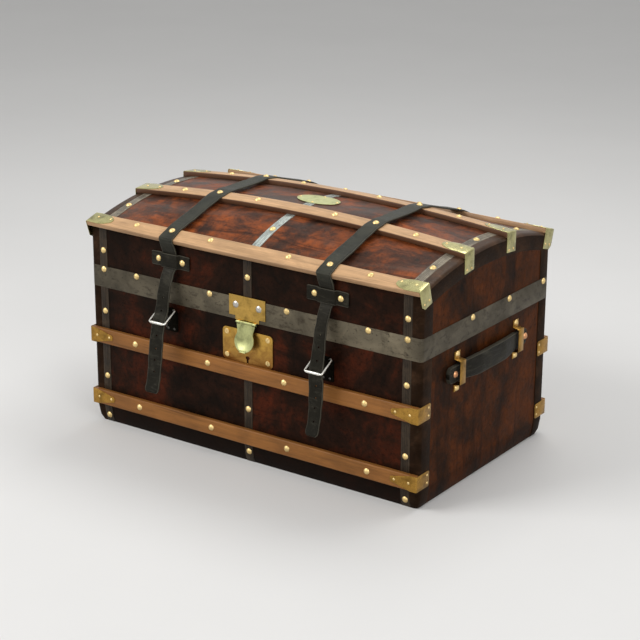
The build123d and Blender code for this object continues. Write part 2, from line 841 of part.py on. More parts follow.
def make_straps():
    """Straps, their free ends, keepers and buckles."""
    for name, spec in (("left", left_strap), ("right", right_strap)):
        write(f"strap_{name}", [lid_strap(spec)])
        write(f"strap_end_{name}", [strap_end(spec)])
        write(f"buckle_frame_{name}", [buckle_frame(spec)])
        write(f"buckle_roller_{name}", [buckle_roller(spec)])
        write(f"buckle_prong_{name}", [prong(spec)])
    pair = (left_strap, right_strap)
    write("strap_keepers", [strap_keeper(spec) for spec in pair])
    write("buckle_chapes", [buckle_chape(spec) for spec in pair])


# Hasp and lock
hasp_axis_y = front - hasp_axis_off


def lock_slot():
    """Way for the hasp's staple through plate, leather and board."""
    z = hasp_axis_z - staple_drop
    half_w = staple_width / 2 + slot_clearance
    low = z - staple_height / 2 - slot_clearance * 2
    top = z + staple_height / 2 + slot_clearance
    return block(-half_w, half_w, front - 2 * lock_plate, front + leather, low, top)


def keyhole(y0, y1):
    """Round hole with a slot below it."""
    half = keyhole_slot / 2
    slot = block(keyhole_x - half, keyhole_x + half, y0, y1, keyhole_z - keyhole_length, keyhole_z)
    return rod_y(keyhole_x, y0, y1, keyhole_z, keyhole_radius) + slot


def lock_mortise():
    """Recess in the front board and its leather that holds the lock case."""
    half = lock_case_width / 2
    return block(-half, half, front, -inner_y, lock_case_z[0], lock_case_z[1])


def bolt_middle():
    """Middle of the bolt, as (y, z)."""
    return front - hasp_axis_off + staple_eye_reach, hasp_axis_z - staple_drop


def make_lock():
    """Lock plate, case, bolt and screws."""
    half = lock_plate_width / 2
    low = upper_slat_z + base_slat_height / 2
    middle_z = (low + lock_plate_top_z) / 2
    outline = RectangleRounded(lock_plate_width, lock_plate_top_z - low, lock_plate_corner)
    face = Plane(origin=(0, front, middle_z), x_dir=(1, 0, 0), z_dir=(0, -1, 0)) * outline
    plate = extrude(face, amount=lock_plate)
    keyway = keyhole(front - 2 * lock_plate, front + board)
    write("lock_plate", [plate - lock_slot() - keyway])
    half_case = lock_case_width / 2
    back = front + leather + board
    z0, z1 = lock_case_z
    wall = lock_case_wall
    outer = block(-half_case, half_case, front, back, z0, z1)
    room = block(-half_case + wall, half_case - wall, front, back - wall, z0 + wall, z1 - wall)
    bolt_y, bolt_z = bolt_middle()
    half_bolt = bolt_width / 2
    x1 = -staple_width / 2 - bolt_gap
    x0 = x1 - bolt_length
    guide_x0 = x0 + bolt_travel
    guide_x1 = x1 - bolt_fit
    guides = []
    for side in signs:
        near = bolt_z + side * (bolt_body / 2 + bolt_fit)
        guides.append(block(guide_x0, guide_x1, bolt_y - half_bolt, back - wall, near, near + side * wall))
    write("lock_case", [outer - room + guides])
    shank = block(x0, x1 - bolt_body, bolt_y - half_bolt, bolt_y + half_bolt,
                  bolt_z - bolt_body / 2, bolt_z + bolt_body / 2)
    nose = block(x0, x1, bolt_y - half_bolt, bolt_y + half_bolt, bolt_z - half_bolt, bolt_z + half_bolt)
    rest = block(x0, x0 + bolt_body, bolt_y + half_bolt, back - wall - bolt_fit,
                 bolt_z - half_bolt, bolt_z + half_bolt)
    write("lock_bolt", [shank + nose + rest])
    spots = [(a * lock_screw_x, z) for a in signs for z in (lock_screw_low_z, lock_screw_top_z)]
    screws = [seat(screw_head, x, front - lock_plate, z, (0, -1, 0)) for x, z in spots]
    write("lock_screws", screws)


def make_hasp():
    """Hasp plate on the band, its leaf with the staple, pin and rivets."""
    back = front - band
    y0 = back - hasp_plate
    half = hasp_plate_width / 2
    tab = hasp_tab_width / 2
    wide = block(-half, half, y0, back, hasp_plate_foot_z, hasp_plate_top_z)
    narrow = block(-tab, tab, y0, back, hasp_axis_z, hasp_plate_foot_z)
    axis = (hasp_axis_y, hasp_axis_z)
    barrel = rod_x(0, *axis, hasp_knuckle, hasp_knuckle_width)
    web = block(-hasp_knuckle_width / 2, hasp_knuckle_width / 2, hasp_axis_y, back,
                hasp_axis_z, hasp_axis_z + hasp_knuckle)
    gap = rod_x(0, *axis, hasp_knuckle + hasp_knuckle_gap,
                hasp_leaf_knuckle_width + 2 * hasp_knuckle_gap)
    slot_half = hasp_leaf_knuckle_width / 2 + hasp_knuckle_gap
    clear = block(-slot_half, slot_half, front - 3 * hasp_knuckle, front,
                  hasp_axis_z - hasp_knuckle, hasp_axis_z + hasp_knuckle + hasp_knuckle_gap)
    above_rim = block(-half, half, front - 4 * hasp_knuckle, front, split_z, hasp_plate_top_z)
    below = block(-half, half, y0 - 4 * hasp_knuckle, y0, 0, hasp_plate_top_z)
    body = (wide + narrow + barrel + web) & (above_rim + below)
    bore = rod_x(0, *axis, hasp_pin, hasp_plate_width)
    write("hasp_plate", [body - gap - clear - bore])
    write("hasp_leaf", [hasp_leaf_shape()])
    pin = rod_x(0, *axis, hasp_pin, hasp_knuckle_width)
    rivets = [seat(rivet_head, a * hasp_rivet_x, y0, hasp_rivet_z, (0, -1, 0)) for a in signs]
    write("hasp_fasteners", [pin] + rivets)


def hasp_leaf_shape():
    """Leaf that hangs from the hasp's pin, leaning out, with the staple behind it."""
    # Drawn upright at the axis, then leaned out
    half_top = hasp_leaf_width / 2
    half_waist = hasp_waist / 2
    disc_top = hasp_disc_drop - hasp_disc_radius * hasp_neck_share
    neck = [(-half_top, -hasp_knuckle - 1), (half_top, -hasp_knuckle - 1), (half_waist, -disc_top),
            (half_waist, -hasp_disc_drop), (-half_waist, -hasp_disc_drop), (-half_waist, -disc_top)]
    leaf = slab_y(neck, -hasp_leaf / 2, hasp_leaf / 2)
    leaf += rod_y(0, -hasp_leaf / 2, hasp_leaf / 2, -hasp_disc_drop, hasp_disc_radius)
    low = -hasp_disc_drop - hasp_disc_radius
    lip_half = hasp_disc_radius / 3
    leaf += block(-lip_half, lip_half, -hasp_leaf / 2 - hasp_lip, hasp_leaf / 2, low, low + hasp_lip)
    width = hasp_leaf_knuckle_width
    leaf += rod_x(0, 0, 0, hasp_knuckle, width)
    leaf += block(-width / 2, width / 2, -hasp_leaf / 2, hasp_leaf / 2, -2 * hasp_knuckle, 0)
    staple = block(-staple_width / 2, staple_width / 2, 0, staple_reach,
                   -staple_drop - staple_height / 2, -staple_drop + staple_height / 2)
    eye = rod_x(0, staple_eye_reach, -staple_drop, staple_eye_radius, 2 * staple_width)
    bore = rod_x(0, 0, 0, hasp_pin + pivot_fit, 2 * width)
    return Pos(0, hasp_axis_y, hasp_axis_z) * Rot(-hasp_lean, 0, 0) * (leaf + staple - eye - bore)


# Hinges
def make_hinges():
    """Two hinges at the back, with leaves on the case and on the band."""
    axis = (rear_hinge_y, split_z)
    pitch = hinge_knuckle_length + hinge_knuckle_gap
    width = hinge_knuckle_count * pitch - hinge_knuckle_gap
    sweep_radius = hinge_knuckle + hinge_sweep_gap
    base_leaves = []
    lid_leaves = []
    pins = []
    for side in signs:
        x = side * hinge_x
        half = width / 2
        base_face = half_depth
        lid_face = half_depth + band
        base_leaf = block(x - half, x + half, base_face, base_face + hinge_base_leaf,
                          split_z - hinge_leaf_height, split_z - hinge_knuckle_gap)
        lid_leaf = block(x - half, x + half, lid_face, lid_face + hinge_lid_leaf,
                         split_z, split_z + hinge_leaf_height)
        middle = hinge_knuckle_length / 2 + hinge_knuckle_gap
        base_leaf -= rod_x(x, *axis, sweep_radius + hinge_base_leaf, 2 * middle)
        ends = Compound(children=[rod_x(x + s * pitch, *axis, hinge_knuckle, hinge_knuckle_length)
                                  for s in signs])
        sweep_ends = [rod_x(x + s * pitch, *axis, sweep_radius, hinge_knuckle_length + 2 * hinge_knuckle_gap)
                      for s in signs]
        base_leaf += ends.solids()
        lid_leaf -= sweep_ends
        lid_leaf += rod_x(x, *axis, hinge_knuckle, hinge_knuckle_length)
        base_leaves.append(base_leaf - rod_x(x, *axis, hinge_pin, width))
        lid_leaves.append(lid_leaf - rod_x(x, *axis, hinge_pin + pivot_fit, width))
        pins.append(rod_x(x, *axis, hinge_pin, width))
    write("hinge_leaves_base", base_leaves)
    write("hinge_leaves_lid", lid_leaves)
    write("hinge_pins", pins)


# Handles
def handle_strip(end):
    """Leather grip that slides in its two loops on an end panel."""
    middle = half_length + handle_gap + handle_leather / 2
    y0 = -handle_loop_y - handle_front_reach()
    y1 = handle_loop_y + handle_rear_reach()
    inner = handle_loop_y - handle_loop_width / 2
    step = inner / 2
    part_bow = handle_bow * handle_bow_share
    bow = [(middle, y0), (middle, -inner), (middle + part_bow, -step), (middle + handle_bow, 0),
           (middle + part_bow, step), (middle, inner), (middle, y1)]
    bends = [step * handle_bend_share] * (len(bow) - 2)
    path = FilletPolyline(*[(end * x, y, handle_z) for x, y in bow], radius=bends)
    start = Plane(origin=path @ 0, x_dir=(0, 0, 1), z_dir=path % 0)
    strip = sweep(start * Rectangle(handle_height, handle_leather), path)
    half = handle_height / 2
    end_half = handle_end_height / 2
    tip_half = end_half * handle_tip_share
    cut = end_half - tip_half
    upper = [(y0, tip_half), (y0 + cut, end_half), (-inner, end_half), (-step, half),
             (step, half), (inner, end_half), (y1 - cut, end_half), (y1, tip_half)]
    outline = upper + [(y, -z) for y, z in reversed(upper)]
    far = half_length + handle_gap + handle_bow + 2 * handle_leather
    shape = slab_x([(y, handle_z + z) for y, z in outline], end * half_length, end * far)
    return strip & shape


def stud_offset():
    """From a loop's middle to the middle of the stud that stops against it."""
    return handle_loop_width / 2 + handle_stud_gap + handle_stud_radius


def handle_front_reach():
    """Leather beyond the front loop."""
    return stud_offset() + handle_front_tail


def handle_rear_reach():
    """Leather beyond the rear loop, with the length that it can slide."""
    return stud_offset() + handle_slide + handle_tail


def handle_loop_shape(end, side):
    """Brass strap bridging the grip, with a foot above and below."""
    y = side * handle_loop_y
    half = handle_loop_width / 2
    foot = handle_nail_spacing / 2 + nail_radius
    inner = handle_loop_span / 2
    room = handle_gap + handle_leather + handle_loop_clearance
    rise = room + handle_loop
    low = half_length
    shape = [(low, -foot), (low + handle_loop, -foot), (low + handle_loop, -inner - handle_loop),
             (low + rise, -inner + handle_loop), (low + rise, inner - handle_loop),
             (low + handle_loop, inner + handle_loop), (low + handle_loop, foot), (low, foot),
             (low, inner), (low + room, inner - 2 * handle_loop), (low + room, -inner + 2 * handle_loop),
             (low, -inner)]
    points = [(end * x, y - half, handle_z + z) for x, z in shape]
    return extrude(make_face(Polyline(*points, close=True)), amount=handle_loop_width, dir=(0, 1, 0))


def make_handles():
    """Grips with their studs, and the loops that carry them."""
    outer = half_length + handle_gap + handle_leather
    for end, name in ((-1, "left"), (1, "right")):
        write(f"handle_{name}", [handle_strip(end)])
        front_stud = -handle_loop_y - stud_offset()
        rear_stud = handle_loop_y + stud_offset() + handle_slide
        studs = [seat(stud_head, end * outer, y, handle_z, (end, 0, 0)) for y in (front_stud, rear_stud)]
        write(f"handle_studs_{name}", studs)
    write("handle_loops", [handle_loop_shape(end, side) for end, side in corners])


# Nails
def lid_nail_places():
    """Domed nails on the lid, as (x, y, z, normal)."""
    places = []
    strap_middles = [strap_x(left_strap), strap_x(right_strap)]
    nail_xs = [a * x for a in signs for x in (nail_x_inner, nail_x_outer)]
    for y, _ in slat_rows:
        places += [(x, y, dome_z(x, y, slat), dome_normal(x, y, slat)) for x in nail_xs]
        top = slat + dome_seat + strap
        places += [(x, y, dome_z(x, y, top), dome_normal(x, y, top)) for x in strap_middles]
    gaps = [side * (crown_slat_y + outer_slat_y) / 2 for side in signs]
    strips = [(x, y) for x in (-corner_strip_x, corner_strip_x) for y in gaps + [0]]
    strips += [(0, y) for y in gaps]
    skin = dome_seat + trim
    places += [(x, y, dome_z(x, y, skin), dome_normal(x, y, skin)) for x, y in strips]
    for side in signs:
        wall = side * (half_depth + trim)
        out = (0, side, 0)
        rim = side * (half_depth + band)
        band_x = nail_x_outer if side < 0 else rear_band_nail_x
        rim_xs = [a * x for a in signs for x in (nail_x_inner, band_x, corner_strip_x)]
        places += [(x, rim, band_nail_z, out) for x in rim_xs]
        places += [(a * corner_strip_x, wall, strip_nail_lid_z, out) for a in signs]
        places.append((0, wall, centre_nail_lid_z, out))
    for end in signs:
        places += [(end * (half_length + band), share * half_depth, band_nail_z, (end, 0, 0))
                   for share in band_end_nail_shares]
    keeper_face = front - keeper
    places += [(x + a * keeper_nail_x, keeper_face, keeper_z, (0, -1, 0))
               for x in strap_middles for a in signs]
    return places


def base_nail_places():
    """Domed nails on the case, as (x, y, z, normal)."""
    places = []
    nail_xs = [a * x for a in signs for x in (nail_x_inner, nail_x_outer)]
    for side, z in base_slats:
        face = side * (half_depth + slat)
        shift = lower_nail_shift if z == lower_slat_z else 0
        places += [(x + shift, face, z, (0, side, 0)) for x in nail_xs]
    for side in signs:
        face = side * (half_depth + trim)
        strips = [(a * corner_strip_x, z) for a in signs for z in strip_nails_base]
        strips += [(0, z) for z in centre_nails_base]
        for x, z in strips:
            places.append(skirt_place(x, side, z) if z < skirt_z else (x, face, z, (0, side, 0)))
    for end, side in corners:
        foot = end * (half_length + handle_loop)
        heights = [handle_z + a * handle_nail_spacing / 2 for a in signs]
        places += [(foot, side * handle_loop_y, z, (end, 0, 0)) for z in heights]
    return places


def skirt_place(x, side, z):
    """A nail's seat on the strip where the case is drawn in above its foot."""
    slope = skirt_step_inset / (skirt_z - skirt_step_z)
    inset = (skirt_z - z) * slope
    return x, side * (half_depth + trim - inset), z, (0, side, -slope)


def small_lid_nail_places():
    """Small nails in the lid's clamps, plaque, hinges and strap ends."""
    places = []
    top = slat + dome_seat + clamp
    leaf_xs = [slat_end_x - clamp_leaf * share for share in clamp_nail_shares]
    for end in signs:
        for y, tilt in slat_rows:
            places += [(end * x, y, dome_z(end * x, y, top), dome_normal(end * x, y, top))
                       for x in leaf_xs]
            low = dome_z(half_length, y, 0) + slat
            face = end * (slat_end_x + clamp)
            if abs(y) < half_depth / 2:
                drop = low - crown_wing_drop + 2 * small_radius
                places += [(face, y + a * slat_width / 4, drop, (end, 0, 0)) for a in signs]
            else:
                side = 1 if y > 0 else -1
                lift = slat - outer_wing_drop + wing_nail_lift
                spots = [on_outer_wing(a * slat_width / 4, lift) for a in signs]
                places += [(face, side * spot_y, spot_z, (end, 0, 0)) for spot_y, spot_z in spots]
    reach_x = plaque_length / 2 - 2 * small_radius
    reach_y = plaque_width / 2 - 2 * small_radius
    skin = 2 * dome_seat + trim + plaque
    for x, y in ((-reach_x, 0), (reach_x, 0), (0, -reach_y), (0, reach_y)):
        places.append((x, y, dome_z(x, y, skin), dome_normal(x, y, skin)))
    leaf_y = half_depth + band + hinge_lid_leaf
    leaf_z = split_z + hinge_leaf_height * hinge_nail_share
    places += [(a * hinge_x + b * hinge_knuckle_length, leaf_y, leaf_z, (0, 1, 0)) for a, b in corners]
    strap_y = half_depth + strap_wall_gap + strap
    strap_z = strap_rear_z - keeper_height / 2
    places += [(strap_x(spec) + b * strap_width / 4, strap_y, strap_z, (0, 1, 0))
               for spec in (left_strap, right_strap) for b in signs]
    return places


def small_base_nail_places():
    """Small nails in the case's clamps, hinges and chapes."""
    places = []
    outer_x = slat_end_x + clamp
    for end in signs:
        for side, z in base_slats:
            face = side * (half_depth + slat + clamp)
            places += [(end * (outer_x - clamp_leaf * share), face, z, (0, side, 0))
                       for share in clamp_nail_shares]
            wing_y = side * (half_depth - clamp_wing * wing_nail_share)
            places += [(end * outer_x, wing_y, z + a * base_slat_height / 4, (end, 0, 0)) for a in signs]
    leaf_y = half_depth + hinge_base_leaf
    leaf_z = split_z - hinge_leaf_height * hinge_nail_share
    places += [(a * hinge_x + b * hinge_knuckle_length, leaf_y, leaf_z, (0, 1, 0)) for a, b in corners]
    for spec in (left_strap, right_strap):
        low = spec["bar_z"] - chape_drop + 2 * small_radius
        places += [(strap_x(spec) + a * chape_width / 4, front - chape, low, (0, -1, 0)) for a in signs]
    return places


def make_nails():
    """All nail heads, in one group per size on the lid and on the case."""
    write("lid_nails", [seat(big_head, *place) for place in lid_nail_places()])
    write("base_nails", [seat(big_head, *place) for place in base_nail_places()])
    write("lid_small_nails", [seat(small_head, *place) for place in small_lid_nail_places()])
    write("base_small_nails", [seat(small_head, *place) for place in small_base_nail_places()])


os.makedirs("parts", exist_ok=True)
make_case()
make_base_trim()
make_lid_shell()
make_lid_trim()
make_slats_and_clamps()
make_straps()
make_lock()
make_hasp()
make_hinges()
make_handles()
make_nails()
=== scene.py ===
import math

import bmesh
import bpy
from bpy.props import FloatProperty, FloatVectorProperty, PointerProperty
from mathutils import Matrix, Vector


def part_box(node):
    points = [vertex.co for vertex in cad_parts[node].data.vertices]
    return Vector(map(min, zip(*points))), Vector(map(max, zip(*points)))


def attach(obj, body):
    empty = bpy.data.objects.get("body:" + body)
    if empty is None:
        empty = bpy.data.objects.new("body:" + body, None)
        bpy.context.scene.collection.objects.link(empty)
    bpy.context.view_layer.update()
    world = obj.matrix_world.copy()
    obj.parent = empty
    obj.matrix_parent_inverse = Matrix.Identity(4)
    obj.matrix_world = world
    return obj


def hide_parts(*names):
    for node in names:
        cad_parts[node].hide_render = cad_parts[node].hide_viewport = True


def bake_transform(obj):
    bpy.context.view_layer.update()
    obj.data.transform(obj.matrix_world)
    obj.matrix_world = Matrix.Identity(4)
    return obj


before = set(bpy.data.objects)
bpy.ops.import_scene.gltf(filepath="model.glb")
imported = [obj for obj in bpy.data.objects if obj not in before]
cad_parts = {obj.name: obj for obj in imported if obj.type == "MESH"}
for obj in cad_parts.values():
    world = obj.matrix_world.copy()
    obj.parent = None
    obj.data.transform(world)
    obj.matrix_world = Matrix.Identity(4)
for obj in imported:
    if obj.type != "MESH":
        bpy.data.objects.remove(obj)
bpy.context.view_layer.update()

bl_info = {
    "name": "Domed leather trunk",
    "version": (1, 0, 0),
    "blender": (4, 5, 0),
    "location": "3D View > Sidebar > Trunk",
    "description": "Builds the looks of a domed leather trunk around its solid model",
    "category": "Object",
}

MM = 0.001
signs = (-1, 1)
ends = {-1: "left", 1: "right"}
walls = {-1: "front", 1: "rear"}
# How far a face's normal leans along an axis to face that way
facing = 0.9
# The same for the leather's ends and top, the corner strips and the tops of the edge leathers
end_lean = 0.8
top_lean = 0.5
strip_lean = 0.5
edge_lean = 0.4
merge_distance = 0.001 * MM

# Sizes taken from the solid model
lid_low, lid_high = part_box("lid_leather")
half_length, half_depth, crown_z = lid_high
rim_z = lid_low.z
band_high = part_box("lid_band")[1]
band_top_z = band_high.z
band_thickness = band_high.x - half_length
slat_low, slat_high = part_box("base_slats_front")
slat_thickness = slat_high.y - slat_low.y
slat_end_x = slat_high.x
front = -half_depth

# Leather cover
cover_thickness = 1.6 * MM
corner_round = 7 * MM

# Dome: an arc across the trunk that also rises towards the middle of its length
lid_edge_z = 431.8 * MM
end_rise = 36.1 * MM
middle_rise = crown_z - lid_edge_z
dome_cuts = (40, 24)

# Foot of the case, drawn in
skirt_z = 35 * MM
skirt_step_z = 12 * MM
skirt_step_inset = 3 * MM
skirt_inset = 8 * MM
# Height over which the painted shade at the foot fades out
foot_shade_fade = 8 * MM

# Strips and edge leathers
edge_wrap = 35 * MM
strip_half = 10 * MM
strip_x = 369 * MM
binding_x = strip_x + strip_half
trim_thickness = 1 * MM

# Slats
slat_half = 17 * MM
case_slat_half = 16 * MM
crown_slat_y = 78.9 * MM
outer_slat_y = 234.3 * MM
upper_slat_z = 195 * MM
lower_slat_z = 58 * MM
case_slats = {"upper": upper_slat_z, "lower": lower_slat_z}
slat_cuts = 40

# Clamps
clamp_thickness = 1 * MM
clamp_leaf = 57 * MM
clamp_tip_half = 7 * MM
clamp_bend = 1.6 * MM
clamp_bend_length = clamp_bend * math.pi / 2
clamp_corner = 1 * MM
crown_wing_drop = 41 * MM
outer_wing_drop = 42 * MM
outer_wing_corner = 8 * MM
case_wing_reach = 33 * MM
case_wing_corner = 3 * MM
# Outlines of the clamps' leaves, in shares of the leaf's length and of its half width
lid_leaf_shares = ((0, 1), (0.52, 1), (0.75, 0.82), (0.92, 0.52), (1, 0.22))
case_leaf_shares = ((0, 1), (0.2, 1))
case_tip_shares = ((0.85, 1), (0.96, 0.85), (1, 0.5))
# Cuts along the leaf and round the bend
clamp_cuts = (6, 4)

# Oval plate
plaque_thickness = 0.8 * MM
plaque_lift = 1.2 * MM
plaque_rings = (1.2 * MM, 3 * MM, 8 * MM)
plaque_sides = 64

# Straps
strap_x = {"left": -190.5 * MM, "right": 190.5 * MM}
strap_thickness = 3.2 * MM
strap_half = 18 * MM
strap_wall_gap = 0.4 * MM
strap_rear_z = 356 * MM
strap_tip_length = 12 * MM
strap_tip_narrowing = 0.3
strap_tip_taper = 0.8 * MM
strap_wave = 0.6 * MM
# Waves along the straps' edges: pace along the strap, strength, and shift from one strap to the other
strap_waves = ((61, 1.0, 0), (23, 0.8, 40), (190, 0.6, 0))
strap_cuts = (260, 8)
slat_edge_gap = 0.4 * MM
slat_edge_lift = 0.2 * MM
slat_edge_share = 0.45
# Where a strap sags between the crown's slats, in shares of the way and of the full sag
sag_place = 0.45
sag_share = 0.75
# Where a strap bends over a slat, in half widths of the slat
crown_bends = (-1.15, -0.8, 0, 0.8, 1.15)
outer_bends = (-1.15, -0.8, 0, 0.75)
# How far each strap stands off the case at its heights in mm, below the keeper
strap_falls = {
    "left": ((9, 368), (17, 352), (23.5, 335), (28, 318), (31.4, 293),
             (44, 270), (52, 233), (58, 185), (63, 153), (72, 129)),
    "right": ((8.5, 368), (16, 352), (22, 335), (26.5, 318), (29.5, 293),
              (36, 262), (41, 246), (38, 219), (41, 175), (45, 146), (55, 121)),
}
# Half width of each strap at its heights in mm; the leather curls inwards between keeper and buckle
strap_widths = {
    "left": ((440, 17), (400, 16.2), (368, 14.8), (318, 14.4), (290, 16), (262, 16.9), (129, 16.6)),
    "right": ((440, 17), (400, 16), (368, 14.5), (335, 13.2), (300, 13.4), (270, 15.5), (230, 15.5),
              (121, 14.6)),
}
# Holes punched along the straps' free ends
hole_pitch = 24 * MM
hole_radius = 2 * MM
hole_sides = 16
drill_length = 12 * MM

# Keepers
keeper_gap = 1.2 * MM
keeper_z = 389 * MM
keeper_half_height = 14.5 * MM
keeper_half_width = 48 * MM
keeper_thickness = 3 * MM
keeper_ease = 0.6 * MM
keeper_foot = 3.5 * MM
keeper_step = 4 * MM
keeper_round = 0.9 * MM
keeper_corner_narrowing = 0.12
keeper_wave = 0.3 * MM
keeper_wave_pace = 90
keeper_seat = 0.05 * MM
keeper_cuts = (48, 8)

# Buckles
wire_radius = 2 * MM
wire_corner = 4 * MM
wire_corner_cuts = 6
wire_round_cuts = 5
roller_radius = 2.9 * MM
roller_length = 30 * MM
roller_round = 0.5 * MM
roller_sides = 32

# Hasp and lock
hasp_barrel_gap = 3 * MM
leaf_rim = 2.2 * MM
leaf_sink = 0.7 * MM
keyhole_z = 223 * MM
keyhole_reach = 8 * MM
keyhole_wear = 1.4
plate_rim = 0.5 * MM
staple_room = 6 * MM
staple_depth = 3 * MM
screw_radius = 5.4 * MM
screw_height = 2.4 * MM
screw_rings = ((0.9 * MM, 0.7 * MM), (1.5 * MM, 0.35 * MM))
screw_flattening = 0.6
screw_sides = 32
screw_turns = (20, -35, 75, 50)
slot_half = 0.5 * MM
slot_end = 1.1 * screw_radius
slot_floor = 0.75 * screw_height

# Handles
grip_thickness = 8 * MM
grip_gap = 0.3 * MM
grip_bow = 8 * MM
grip_end_half = 16 * MM
grip_middle_extra = 5 * MM
grip_end_round = 8 * MM
grip_round = 1.2 * MM
# How fast the grips reach their full height and bow, how square their padding is, how blunt they end
grip_rise_pace = 1.3
grip_bow_pace = 1.25
grip_pad_power = 2.4
grip_bluntness = 0.12
grip_cuts = (70, 10)
loop_y = 112 * MM
loop_room = 11 * MM
loop_round = 0.5 * MM


def linear(red, green, blue):
    """Colour as Blender mixes it, from screen values of 0 to 255."""
    def channel(value):
        share = value / 255
        return share / 12.92 if share <= 0.04045 else ((share + 0.055) / 1.055) ** 2.4
    return channel(red), channel(green), channel(blue)


def colour(name, description, default):
    """A colour that the user can change."""
    return FloatVectorProperty(name=name, description=description, default=linear(*default),
                               subtype="COLOR", size=3, min=0, max=1)


def size(name, description, default):
    """A length that the user can change."""
    return FloatProperty(name=name, description=description, default=default, subtype="DISTANCE",
                         unit="LENGTH", min=0)


class TrunkColours(bpy.types.PropertyGroup):
    """Colours of the trunk's materials."""
    leather_dark: colour("Leather, dark", "Darkest parts of the leather", (17, 10, 7))
    # Front and back tones: this leather darkened as painted shade
    leather_front: colour("Leather, front", "Main tone of the front and back", (36, 19, 12))
    leather_front_worn: colour("Leather, front, rubbed", "Rubbed patches, front and back", (78, 32, 16))
    # Lid-top tones: the same leather lightened as painted light from above
    leather_top: colour("Leather, lid", "Main tone of the lid's top", (68, 37, 23))
    leather_top_worn: colour("Leather, lid, rubbed", "Rubbed patches of the lid's top", (138, 70, 32))
    # A grey sheen painted on the lid's top
    leather_haze: colour("Leather, lid, bloom", "Grey bloom on the lid's top", (90, 82, 76))
    leather_end: colour("Leather, ends", "Main tone of the end panels", (50, 27, 12))
    leather_end_worn: colour("Leather, ends, rubbed", "Rubbed patches on the end panels", (90, 46, 19))
    edging: colour("Edge leather", "Leather over the edges and corners", (38, 25, 16))
    strip: colour("Strips", "Corner strips", (50, 40, 29))
    # The corner strips' tone where they face up over the lid: painted light from above
    strip_top: colour("Strips, lid", "Corner strips where they lie over the lid", (114, 106, 92))
    zinc: colour("Centre strip", "Metal strip over the lid's top", (160, 166, 160))
    band: colour("Rim band", "Iron band round the lid", (94, 86, 70))
    band_stain: colour("Rim band stains", "Dark stains on the iron band", (44, 34, 22))
    pale_wood: colour("Lid slats", "Slats on the lid", (208, 166, 122))
    # Darker tone of the lid slats' sides: painted shade
    wood_side: colour("Lid slats, sides", "Stained sides of the lid's slats", (70, 38, 24))
    front_wood: colour("Case slats", "Slats on the case", (150, 98, 46))
    brass: colour("Brass", "Clamps on the case and loops of the handles", (168, 128, 60))
    lid_brass: colour("Brass, lid", "Clamps on the lid's slats", (180, 174, 122))
    hasp_brass: colour("Hasp plate", "Brass of the hasp plate", (184, 148, 76))
    lock_brass: colour("Lock plate", "Brass of the lock plate", (186, 146, 70))
    brass_aged: colour("Brass, aged", "Lower part of the lock plate", (156, 114, 58))
    pale_brass: colour("Pale brass", "Hasp leaf and oval plate", (172, 174, 122))
    nail: colour("Nails", "Domed nail heads and screws", (226, 198, 138))
    copper: colour("Handle studs", "Studs of the handles", (206, 150, 108))
    strap: colour("Straps", "Leather of straps and handles", (22, 20, 14))
    # Lighter tone of the straps over the lid: painted sheen
    strap_top: colour("Straps, lid", "Straps where they lie over the lid", (52, 53, 46))
    strap_worn: colour("Straps, worn", "Worn edges of the straps", (100, 96, 84))
    nickel: colour("Buckles", "Wire of the buckles", (222, 220, 212))
    steel: colour("Steel", "Rivets, hinges and lock", (188, 184, 176))
    lining: colour("Lining", "Cloth inside", (178, 162, 132))
    pine: colour("Boards", "Boards at the rim", (186, 148, 102))
    floor: colour("Floor", "Floor and backdrop", (225, 224, 222))


class TrunkSizes(bpy.types.PropertyGroup):
    """Sizes of details that the solid model leaves out."""
    strap_sag: size("Strap sag", "How far the straps sag between two slats", 4.5 * MM)
    wood_round: size("Slat rounding", "Rounding of the slats' edges", 2.4 * MM)
    metal_round: size("Sheet rounding", "Rounding of the sheet metal's edges", 0.35 * MM)
    leather_round: size("Leather rounding", "Rounding of cut leather edges", 0.7 * MM)
    handle_bulge: size("Handle padding", "How much thicker the handles are in the middle", 3 * MM)


def looks():
    """The user's colours."""
    return bpy.context.scene.trunk_colours


def sizes():
    """The user's sizes."""
    return bpy.context.scene.trunk_sizes


# Tools for the mesh pieces
def clear_selection():
    """Leave edit mode and deselect everything."""
    if bpy.context.mode != "OBJECT":
        bpy.ops.object.mode_set(mode="OBJECT")
    bpy.ops.object.select_all(action="DESELECT")


def activate(piece):
    """Make one piece the only selected and active one."""
    clear_selection()
    piece.select_set(True)
    bpy.context.view_layer.objects.active = piece


def named(name):
    """Give the new primitive its name and move its place into its mesh."""
    piece = bpy.context.active_object
    piece.name = name
    bpy.ops.object.transform_apply(location=True, rotation=True, scale=True)
    return piece


def new_box(name, low, high):
    """Box between two corners."""
    clear_selection()
    low, high = Vector(low), Vector(high)
    bpy.ops.mesh.primitive_cube_add(size=1, location=(low + high) / 2, scale=high - low)
    return named(name)


def new_sheet(name, length, width, cuts):
    """Flat grid round the origin, cut along its length and its width."""
    clear_selection()
    bpy.ops.mesh.primitive_grid_add(x_subdivisions=cuts[0], y_subdivisions=cuts[1], size=1,
                                    location=(0, 0, 0))
    bpy.context.active_object.scale = (length, width, 1)
    return named(name)


def new_rod(name, radius, length, sides, centre=(0, 0, 0), turn=(0, 0, 0)):
    """Round bar, turned by three angles."""
    clear_selection()
    bpy.ops.mesh.primitive_cylinder_add(vertices=sides, radius=radius, depth=length,
                                        location=centre, rotation=turn)
    return named(name)


def new_plate(name, outline, thickness):
    """Plate with an outline of (a, b) points, lying on the XY plane."""
    clear_selection()
    bpy.ops.mesh.primitive_circle_add(vertices=len(outline), radius=1, fill_type="NGON")
    piece = named(name)
    for vertex, (a, b) in zip(piece.data.vertices, outline):
        vertex.co = (a, b, 0)
    edit(piece, "FACE", "SELECT")
    bpy.ops.mesh.extrude_region_move(TRANSFORM_OT_translate={"value": (0, 0, thickness)})
    turn_outwards(piece)
    return piece


